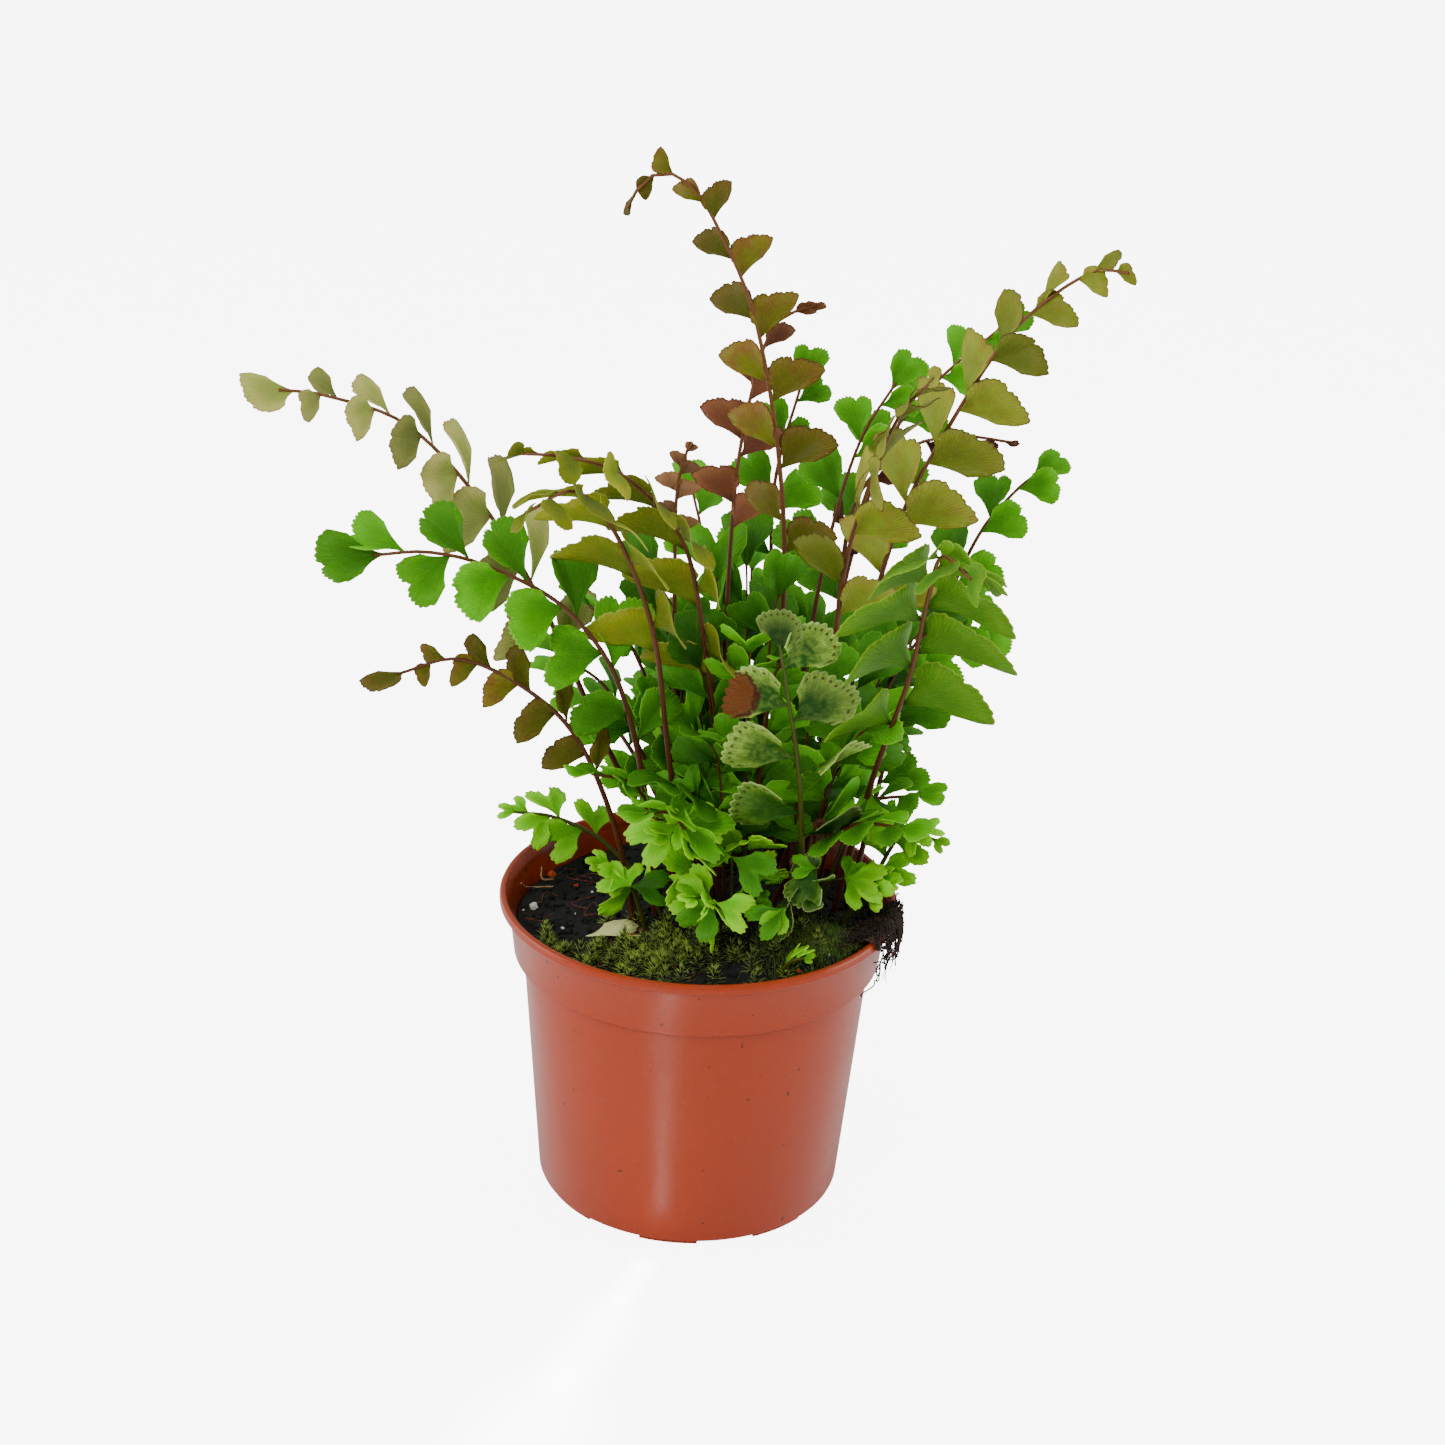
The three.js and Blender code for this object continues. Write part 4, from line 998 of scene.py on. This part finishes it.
class MossOperator(bpy.types.Operator):
    """Grows star-shaped moss sprigs in front and a velvet bank at the right"""
    bl_idname = "fern.make_moss"
    bl_label = "Moss"

    def execute(self, context):
        chance = random.Random(5)
        bm = toned_mesh()
        for _ in range(context.scene.fern_ground.moss):
            x, y = chance.gauss(*STAR_X), chance.gauss(*STAR_Y)
            if math.hypot(x, y) > STAR_LIMIT or self.under_leaf(x, y):
                continue
            tall = chance.uniform(0.8, 6.5)
            for tier in range(SPRIG_TIERS):
                height = soil_height(x, y) + tall * (0.1 + 0.28 * tier)
                for k in range(SPRIG_NEEDLES):
                    turn = 2 * math.pi * (k / SPRIG_NEEDLES) + tier * 0.5 + chance.uniform(-0.2, 0.2)
                    lean = math.radians(78 - 20 * tier + chance.uniform(-10, 10))
                    length = chance.uniform(3.0, 5.0) * (1 - 0.12 * tier)
                    self.blade(bm, (x, y, height), turn, lean, length, NEEDLE_WIDTH)
        finish("star_moss", bm, [self.green("Star Moss", "#0a1e02", "#d0f050")])

        bm = toned_mesh()
        for _ in range(VELVET_BLADES):
            x, y = chance.gauss(*VELVET_X), chance.gauss(*VELVET_Y)
            if math.hypot(x, y) > VELVET_LIMIT:
                continue
            self.blade(bm, (x, y, soil_height(x, y) - 0.2), chance.uniform(0, 6.28),
                       math.radians(chance.uniform(0, 50)), chance.uniform(1.4, 2.8), VELVET_WIDTH)
        finish("velvet_moss", bm, [self.green("Velvet Moss", "#1c380a", "#7c9c28")])
        return {"FINISHED"}

    @staticmethod
    def under_leaf(x, y):
        """Whether a place lies below the fallen leaf."""
        along = (x - FALLEN_X) * math.cos(FALLEN_TURN) + (y - FALLEN_Y) * math.sin(FALLEN_TURN)
        apart = (y - FALLEN_Y) * math.cos(FALLEN_TURN) - (x - FALLEN_X) * math.sin(FALLEN_TURN)
        return -1 < along < 1.25 * FALLEN_LENGTH and abs(apart) < 5

    @staticmethod
    def blade(bm, place, turn, lean, length, width):
        """A narrow pointed moss leaf, with a tone that rises along it."""
        root, length = Vector(place) * MM, length * MM
        aim = Matrix.Rotation(turn, 4, "Z") @ Matrix.Rotation(lean, 4, "Y")
        half_way = Matrix.Translation((0, 0, length / 2))
        made = bmesh.ops.create_cone(bm, cap_ends=True, segments=3, radius1=width * MM, radius2=0,
                                     depth=length, matrix=Matrix.Translation(root) @ aim @ half_way)
        tone = bm.verts.layers.float["tone"]
        for vert in made["verts"]:
            vert[tone] = (vert.co - root).length / length

    @staticmethod
    def green(name, dark, light):
        """Moss, light at its tips and dark between them."""
        material, web, shader, place = start_material(name)
        tips = web.math("POWER", web.tone(), 2.0)
        share = web.times(tips, web.step(web.noise(place, 260.0), 0.25, 0.6), True)
        web.fill(shader, {"Base Color": web.mix(share, linear(dark), linear(light)), "Roughness": 0.6})
        web.bump(shader, web.noise(place, 3000.0), 0.2, 0.0001)
        return material


def margin_radius(shape, angle, phase):
    """The blade's reach from its root at an angle, in leaflet lengths, with its notch and scallops."""
    table, notch, scallops, depth = MARGINS[shape]
    reach = table[-1][1]
    for (a, ra), (b, rb) in zip(table, table[1:]):
        if angle <= b:
            w = min(max((angle - a) / (b - a), 0), 1)
            w = w * w * (3 - 2 * w)
            reach = ra + (rb - ra) * w
            break
    share = (angle - table[0][0]) / (table[-1][0] - table[0][0])
    scallop = abs(math.sin(math.pi * (share * scallops + phase)))
    reach *= 1 - depth * (1 - scallop) * math.sin(math.pi * min(max(share, 0), 1)) ** SCALLOP_FADE
    off_notch = (angle - notch - NOTCH_DRIFT * phase) / NOTCH_WIDTH
    return reach * (1 - NOTCHES[shape] * math.exp(-off_notch ** 2))


def add_blade(bm, shape, arch, length, root, out, second, normal, seed, thickness, wave, fine):
    """One leaflet: a grid drawn out as a fan from its root, arched, waved and given its thickness."""
    table, _, scallops, _ = MARGINS[shape]
    low, high = table[0][0], table[-1][0]
    columns, rows = (max(LEAST_COLUMNS, SCALLOP_COLUMNS * scallops), FINE_ROWS) if fine else SMALL_GRID
    made = bmesh.ops.create_grid(bm, x_segments=columns, y_segments=rows, size=0.5, calc_uvs=True)
    verts = made["verts"]
    tone_layer = bm.verts.layers.float["tone"]
    tone = phase = draw(seed, 3)
    bend = between(WAVE_SHARE, seed, 4)
    arch *= between(ARCH_SHARE, seed, 8)
    middle = low + (high - low) * MIDDLES.get(shape, EVEN_MIDDLE)
    for vert in verts:
        across, along = vert.co.x + 0.5, vert.co.y + 0.5
        angle = low + (high - low) * across
        bent = middle + (angle - middle) * (1 - FLARE * (1 - along ** FLARE_POWER))
        reach = margin_radius(shape, angle, phase) * length * along ** REACH_POWER
        x, y = polar(reach, math.radians(bent))
        drop = arch * length * (x / length) ** 2
        ripple = wave * length * along ** 2 * math.sin(across * RIPPLES + phase * 6.28) * bend
        cup = CUP * length * along * (2 * across - 1) ** 2
        place = root + out * x + second * y + normal * (ripple + cup - drop)
        vert.co = place * MM
        vert[tone_layer] = tone
    faces = list({face for vert in verts for face in vert.link_faces})
    bmesh.ops.remove_doubles(bm, verts=verts, dist=1e-7)
    faces = [face for face in faces if face.is_valid]
    bmesh.ops.solidify(bm, geom=faces, thickness=thickness)


def build_frond(frond, piece, materials, settings):
    """A frond's fine stem and its leaflets, each turned as the coarse one is."""
    name, kind = frond["name"], frond["kind"]
    stem, face = Stem(frond["path"]), Vector(frond["face"]).normalized()
    outline, arch, _, slot = KINDS[kind]
    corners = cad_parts[name].data.vertices
    tree = KDTree(len(corners))
    for vert in corners:
        tree.insert(vert.co, vert.index)
    tree.balance()
    size = FINE_SIZES.get(name, FINE_SIZES.get(kind, 1))
    bm = leaf_mesh()
    for i, place in enumerate(leaflet_plan(frond, piece)):
        best, found = None, 0
        for turn in TURNS:
            point, out, second, normal = leaflet_axes(stem, face, kind, frond["lift"], place, turn)
            hits = 0
            for x, y in OUTLINES[outline][1:]:
                x, y = x * place["length"], y * place["length"] * place["side"]
                drop = arch * place["length"] * (x / place["length"]) ** 2
                corner = point + out * x + second * y + normal * (-drop - BLADE / 2)
                hits += tree.find(corner * MM)[2] < FOUND_WITHIN
            if hits > found:
                best, found = turn, hits
        if best is None or found < LEAST_FOUND:
            continue
        root, out, second, normal = leaflet_axes(stem, face, kind, frond["lift"], place, best, False)
        add_blade(bm, FINE_OUTLINES.get(kind, outline), arch, place["length"] * size, root, out,
                  second * place["side"], normal, piece * SEED_STEP + i, settings.thickness,
                  settings.wave, place["length"] > FINE_LENGTH)
    line = []
    for k in range(STEM_STEPS + 1):
        share = k / STEM_STEPS
        radius = (settings.stem_foot + (settings.stem_tip - settings.stem_foot) * share) / MM
        line.append((stem.at(stem.time(share)), radius))
    add_tubes(bm, [line], 2, 1)
    bmesh.ops.recalc_face_normals(bm, faces=bm.faces)
    finish(f"{name}_fine", bm, materials, name)


def build_undergrowth():
    """Small sprays between the stems, in one piece for each of their two greens, the darker one with
    painted shade.
    """
    settings = bpy.context.scene.fern_leaves
    for kind in ("shaded_green", "green"):
        bm = leaf_mesh()
        shape = "fan" if kind == "shaded_green" else "lobed"
        lines = []
        for number, frond in enumerate(UNDER, UNDER_SEED):
            if frond["kind"] != kind:
                continue
            stem, face = Stem(frond["path"]), Vector(frond["face"]).normalized()
            for i, place in enumerate(leaflet_plan(frond, number)):
                root, out, second, normal = leaflet_axes(stem, face, kind, frond["lift"], place, 0, False)
                if (root + out * place["length"]).z < SOIL_LEVEL + UNDER_CLEARANCE:
                    continue
                add_blade(bm, shape, KINDS[kind][1], place["length"], root, out, second * place["side"],
                          normal, number * SEED_STEP + i, settings.thickness, UNDER_WAVE * settings.wave,
                          False)
            lines.append([(stem.at(stem.time(k / UNDER_STEPS)), UNDER_RADIUS - UNDER_THINNING * k)
                          for k in range(UNDER_STEPS + 1)])
        add_tubes(bm, lines, 1, 1)
        bmesh.ops.recalc_face_normals(bm, faces=bm.faces)
        finish(f"undergrowth_{kind}", bm, [leaf_of(kind), wiry_stem()])


def build_rosettes():
    """The broad young leaves in front, that face the viewer, on short stalks."""
    settings = bpy.context.scene.fern_leaves
    meshes = {kind: leaf_mesh() for kind in ROSETTE_SLOTS}
    lines = []
    for number, (hub, leaves) in enumerate(ROSETTES):
        hub = Vector(hub)
        foot = hub.lerp(Vector((CROWN_X, CROWN_Y, 0)), 0.35)
        foot.z = soil_height(foot.x, foot.y) - 1
        lines.append(drawn([foot, (foot + hub) / 2 + Vector((0, 2, 4)), hub], 12, 0.55, 0.02))
        for i, (angle, length, kind) in enumerate(leaves):
            seed = ROSETTE_SEED + ROSETTE_SEED_STEP * number + i
            face = Vector((0.5 * (draw(seed, 6) - 0.5), -0.62, 0.78 + 0.4 * (draw(seed, 7) - 0.5)))
            face.normalize()
            right = Vector((1, 0, 0)) - face * face.x
            right.normalize()
            out = Quaternion(face, math.radians(angle)) @ right
            add_blade(meshes[kind], FINE_OUTLINES.get(kind, "lobed"), ROSETTE_ARCH, length, hub, out,
                      face.cross(out), face, seed, settings.thickness, settings.wave, True)
    add_tubes(meshes["green"], lines, 2, 1)
    for kind, bm in meshes.items():
        bmesh.ops.recalc_face_normals(bm, faces=bm.faces)
        finish(f"front_leaves_{kind}", bm, [leaf_of(kind), green_stem()])


def build_croziers():
    """Rolled young tips low between the stems."""
    lines = []
    for x, y, z, radius in CROZIERS:
        foot = Vector((x - 3, y + 5, soil_height(x - 3, y + 5) - 1))
        marks = [foot, Vector((x - 2, y + 1, (foot.z + z) / 2)), Vector((x, y, z - radius))]
        lines.append(drawn(marks, 10, 0.6))
        coil = []
        for k in range(COIL_STEPS + 1):
            turn = k / COIL_STEPS * COIL_HALF_TURNS * math.pi
            size = radius * (1 - COIL_TIGHTENING * k / COIL_STEPS)
            coil.append((Vector((x + size * math.sin(turn), y + 0.02 * k, z - size * math.cos(turn))),
                         0.9 - 0.012 * k))
        lines.append(coil)
    bm = bmesh.new()
    add_tubes(bm, lines, 2)
    finish("croziers", bm, [earth_material("Crozier", "#4a2412", "#7c4a26", "#5c3018", FINE_GRAIN)])


def build_fronds(fronds, first):
    """Fronds in order, each in the finish of its kind or its own."""
    settings = bpy.context.scene.fern_leaves
    for piece, frond in enumerate(fronds, first):
        stem = green_stem() if frond["kind"] in ("old", "young") else wiry_stem()
        kind = FROND_FINISHES.get(frond["name"], frond["kind"])
        build_frond(frond, piece, [leaf_of(kind), stem], settings)


class FrondsOperator(bpy.types.Operator):
    """Builds the large fronds"""
    bl_idname = "fern.make_fronds"
    bl_label = "Fronds"

    def execute(self, context):
        build_fronds(SHOWN, 0)
        return {"FINISHED"}


class YoungFrondsOperator(bpy.types.Operator):
    """Builds the young fronds near the soil, the front leaves and the croziers"""
    bl_idname = "fern.make_young_fronds"
    bl_label = "Young Fronds"

    def execute(self, context):
        build_fronds(YOUNG, len(SHOWN))
        build_rosettes()
        build_croziers()
        return {"FINISHED"}


class ShortFrondsOperator(bpy.types.Operator):
    """Builds the shorter fronds round the clump and the sprays between the stems"""
    bl_idname = "fern.make_short_fronds"
    bl_label = "Short Fronds"

    def execute(self, context):
        build_fronds(SHORT, len(SHOWN) + len(YOUNG))
        build_undergrowth()
        return {"FINISHED"}


class LitterOperator(bpy.types.Operator):
    """Lays the withered leaf on the soil and the bare roots over the rim"""
    bl_idname = "fern.make_litter"
    bl_label = "Litter"

    def execute(self, context):
        settings = context.scene.fern_leaves
        bm = leaf_mesh()
        height = (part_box("fallen_leaf")[0].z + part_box("fallen_leaf")[1].z) / 2 / MM
        root = Vector((FALLEN_X, FALLEN_Y, height))
        out = Vector((*polar(1, FALLEN_TURN), 0))
        second = Vector((-out.y, out.x, 0))
        add_blade(bm, "lobed", 0.0, WITHERED_LENGTH * FALLEN_LENGTH, root, out, WITHERED_BREADTH * second,
                  Vector((0, 0, 1)), WITHERED_SEED, settings.thickness, settings.wave, True)
        bmesh.ops.recalc_face_normals(bm, faces=bm.faces)
        finish("withered_leaf", bm, [self.withered()], "fallen_leaf")

        chance = random.Random(23)
        lines = []
        for _ in range(DRAPED_ROOTS):
            share, turn = chance.uniform(0.1, 0.82), self.turn(chance, *ROOT_FAN)
            marks = []
            for _ in range(6):
                marks.append(self.drape(share, turn, chance.uniform(0.1, 1.5)))
                share += chance.gauss(0.01, 0.06)
                turn += math.radians(chance.gauss(0, 2))
            lines.append([(through(marks, i / 15), chance.uniform(0.15, 0.27)) for i in range(16)])
        for _ in range(HANGING_ROOTS):
            turn, end = self.turn(chance, *HANGING_FAN), chance.uniform(0.8, 1.0)
            marks = [self.drape(end * (0.5 + 0.1 * i), turn + math.radians(chance.uniform(-0.8, 0.8)),
                                chance.uniform(0.3, 1.2)) for i in range(6)]
            lines.append(drawn(marks, 18, 0.24, 0.007))
        bm = bmesh.new()
        add_tubes(bm, lines, 1)
        for _ in range(ROOT_CRUMBS):
            share, turn = chance.uniform(0, 0.72), self.turn(chance, *ROOT_FAN)
            place = self.drape(share, turn, chance.uniform(0, 0.8))
            scatter_lump(bm, chance, *place, chance.uniform(0.35, 1.15))
        bmesh.ops.recalc_face_normals(bm, faces=bm.faces)
        finish("bare_roots", bm, [earth_material("Roots", "#120a06", "#38200f", "#5c3420", FINE_GRAIN)],
               "root_tuft")
        return {"FINISHED"}

    @staticmethod
    def turn(chance, low, high):
        """An angle round the pot, at the tuft give or take some degrees."""
        return TUFT_ANGLE + math.radians(chance.uniform(low, high))

    @staticmethod
    def drape(share, turn, lift):
        """A place on the way out of the pot, over its lip and down outside."""
        ground = soil_height(*polar(DRAPE_GROUND, turn))
        way = ((DRAPE_START, ground), (DRAPE_BANK, (ground + POT_HEIGHT) / 2), *DRAPE_OVER)
        marks = [Vector((*mark, 0)) for mark in way]
        place = through(marks, min(max(share, 0), 1))
        slope = through(marks, min(share + 0.02, 1)) - through(marks, max(share - 0.02, 0))
        place += Vector((-slope.y, slope.x, 0)).normalized() * lift
        return Vector((place.x * math.cos(turn), place.x * math.sin(turn), place.y))

    @staticmethod
    def withered():
        """Pale, dry leaf with brown specks."""
        material, web, shader, place = start_material("Withered Leaf")
        spots = web.mottle(place, {"Speck Scale": 800.0})
        colour = web.mix(spots["Patches"], linear("#e8e8a0"), linear("#c0bc64"))
        colour = web.mix(spots["Specks"], colour, linear("#7c4a24"))
        web.fill(shader, {"Base Color": colour, "Roughness": 0.75})
        web.bump(shader, web.noise(place, 1200.0), 0.3, 0.0002)
        return material


class StageOperator(bpy.types.Operator):
    """Sets the floor, the lights and the camera"""
    bl_idname = "fern.make_stage"
    bl_label = "Stage"

    def execute(self, context):
        settings = context.scene.fern_stage
        bm = bmesh.new()
        bmesh.ops.create_grid(bm, x_segments=1, y_segments=1, size=FLOOR_SIZE)
        floor = place_object("floor", mesh_of("floor", bm))
        material, web, shader, place = start_material("Pale Floor")
        shade = web.mix(web.noise(place, 8.0), (*settings.floor, 1), (0.93, 0.93, 0.93, 1))
        web.fill(shader, {"Base Color": shade, "Roughness": 0.8, "Emission Color": (1, 1, 1, 1),
                          "Emission Strength": web.times(self.seen(web), FLOOR_GLOW)})
        floor.data.materials.append(material)

        world = context.scene.world or bpy.data.worlds.new("Studio")
        context.scene.world = world
        world.use_nodes = True
        web = Web(world.node_tree)
        strength = web.plus(web.times(self.seen(web), FLOOR_GLOW), settings.sky)
        web.fill(world.node_tree.nodes["Background"], {"Color": (1, 1, 1, 1), "Strength": strength})

        for name, place, size, share in LIGHTS:
            light = place_object(name, bpy.data.lights.new(name, "AREA"))
            light.data.energy, light.data.size = share * settings.key, size
            light.location = place
            light.rotation_mode = "QUATERNION"
            light.rotation_quaternion = (LIGHT_TARGET - light.location).to_track_quat("-Z", "Y")
        for number, (near, far, width, height) in enumerate(LOW_STRIPS):
            light = place_object(f"low_{number}", bpy.data.lights.new(f"low_{number}", "AREA"))
            data, reach = light.data, (near + far) / 2
            data.shape, data.size, data.size_y = "RECTANGLE", width, far - near
            data.energy, data.spread = settings.low * width * (far - near), LOW_CONE
            light.location = (LOW_START[0] - reach * math.sin(LOW_TURN),
                              LOW_START[1] - reach * math.cos(LOW_TURN), height)
            light.rotation_euler = (0, 0, -LOW_TURN)
            light.visible_camera = False

        camera = place_object("camera", bpy.data.cameras.new("camera"))
        camera.data.lens, camera.data.sensor_width = LENS, SENSOR
        turn, dip, roll = (math.radians(a) for a in (CAMERA_TURN, CAMERA_DIP, CAMERA_ROLL))
        aim = Vector((math.sin(turn) * math.cos(dip), math.cos(turn) * math.cos(dip), -math.sin(dip)))
        camera.location = Vector(EYE) * MM
        camera.rotation_mode = "QUATERNION"
        camera.rotation_quaternion = Quaternion(aim, -roll) @ aim.to_track_quat("-Z", "Y")
        context.scene.camera = camera
        return {"FINISHED"}

    @staticmethod
    def seen(web):
        """1 where the camera looks straight at it, else 0."""
        return web.add("ShaderNodeLightPath").outputs["Is Camera Ray"]


PIECES = (PotOperator, SoilOperator, MossOperator, FrondsOperator, YoungFrondsOperator,
          ShortFrondsOperator, LitterOperator, StageOperator)


class FernPanel(bpy.types.Panel):
    """Lists the pieces of the fern"""
    bl_idname = "VIEW3D_PT_fern"
    bl_label = "Potted Fern"
    bl_space_type = "VIEW_3D"
    bl_region_type = "UI"
    bl_category = "Fern"

    def draw(self, context):
        for settings in (context.scene.fern_pot, context.scene.fern_ground, context.scene.fern_leaves,
                         context.scene.fern_stage):
            for name in settings.bl_rna.properties.keys():
                if name not in ("rna_type", "name"):
                    self.layout.prop(settings, name)
        for operator in PIECES:
            self.layout.operator(operator.bl_idname)


SETTINGS = {"fern_pot": FernPot, "fern_ground": FernGround, "fern_leaves": FernLeaves,
            "fern_stage": FernStage}


def register():
    for made in (*SETTINGS.values(), *PIECES, FernPanel):
        bpy.utils.register_class(made)
    for name, made in SETTINGS.items():
        setattr(bpy.types.Scene, name, PointerProperty(type=made))


def unregister():
    for name in SETTINGS:
        delattr(bpy.types.Scene, name)
    for made in (FernPanel, *reversed(PIECES), *reversed(SETTINGS.values())):
        bpy.utils.unregister_class(made)


def main():
    register()
    for operator in PIECES:
        family, name = operator.bl_idname.split(".")
        getattr(getattr(bpy.ops, family), name)()


if __name__ == "__main__":
    main()
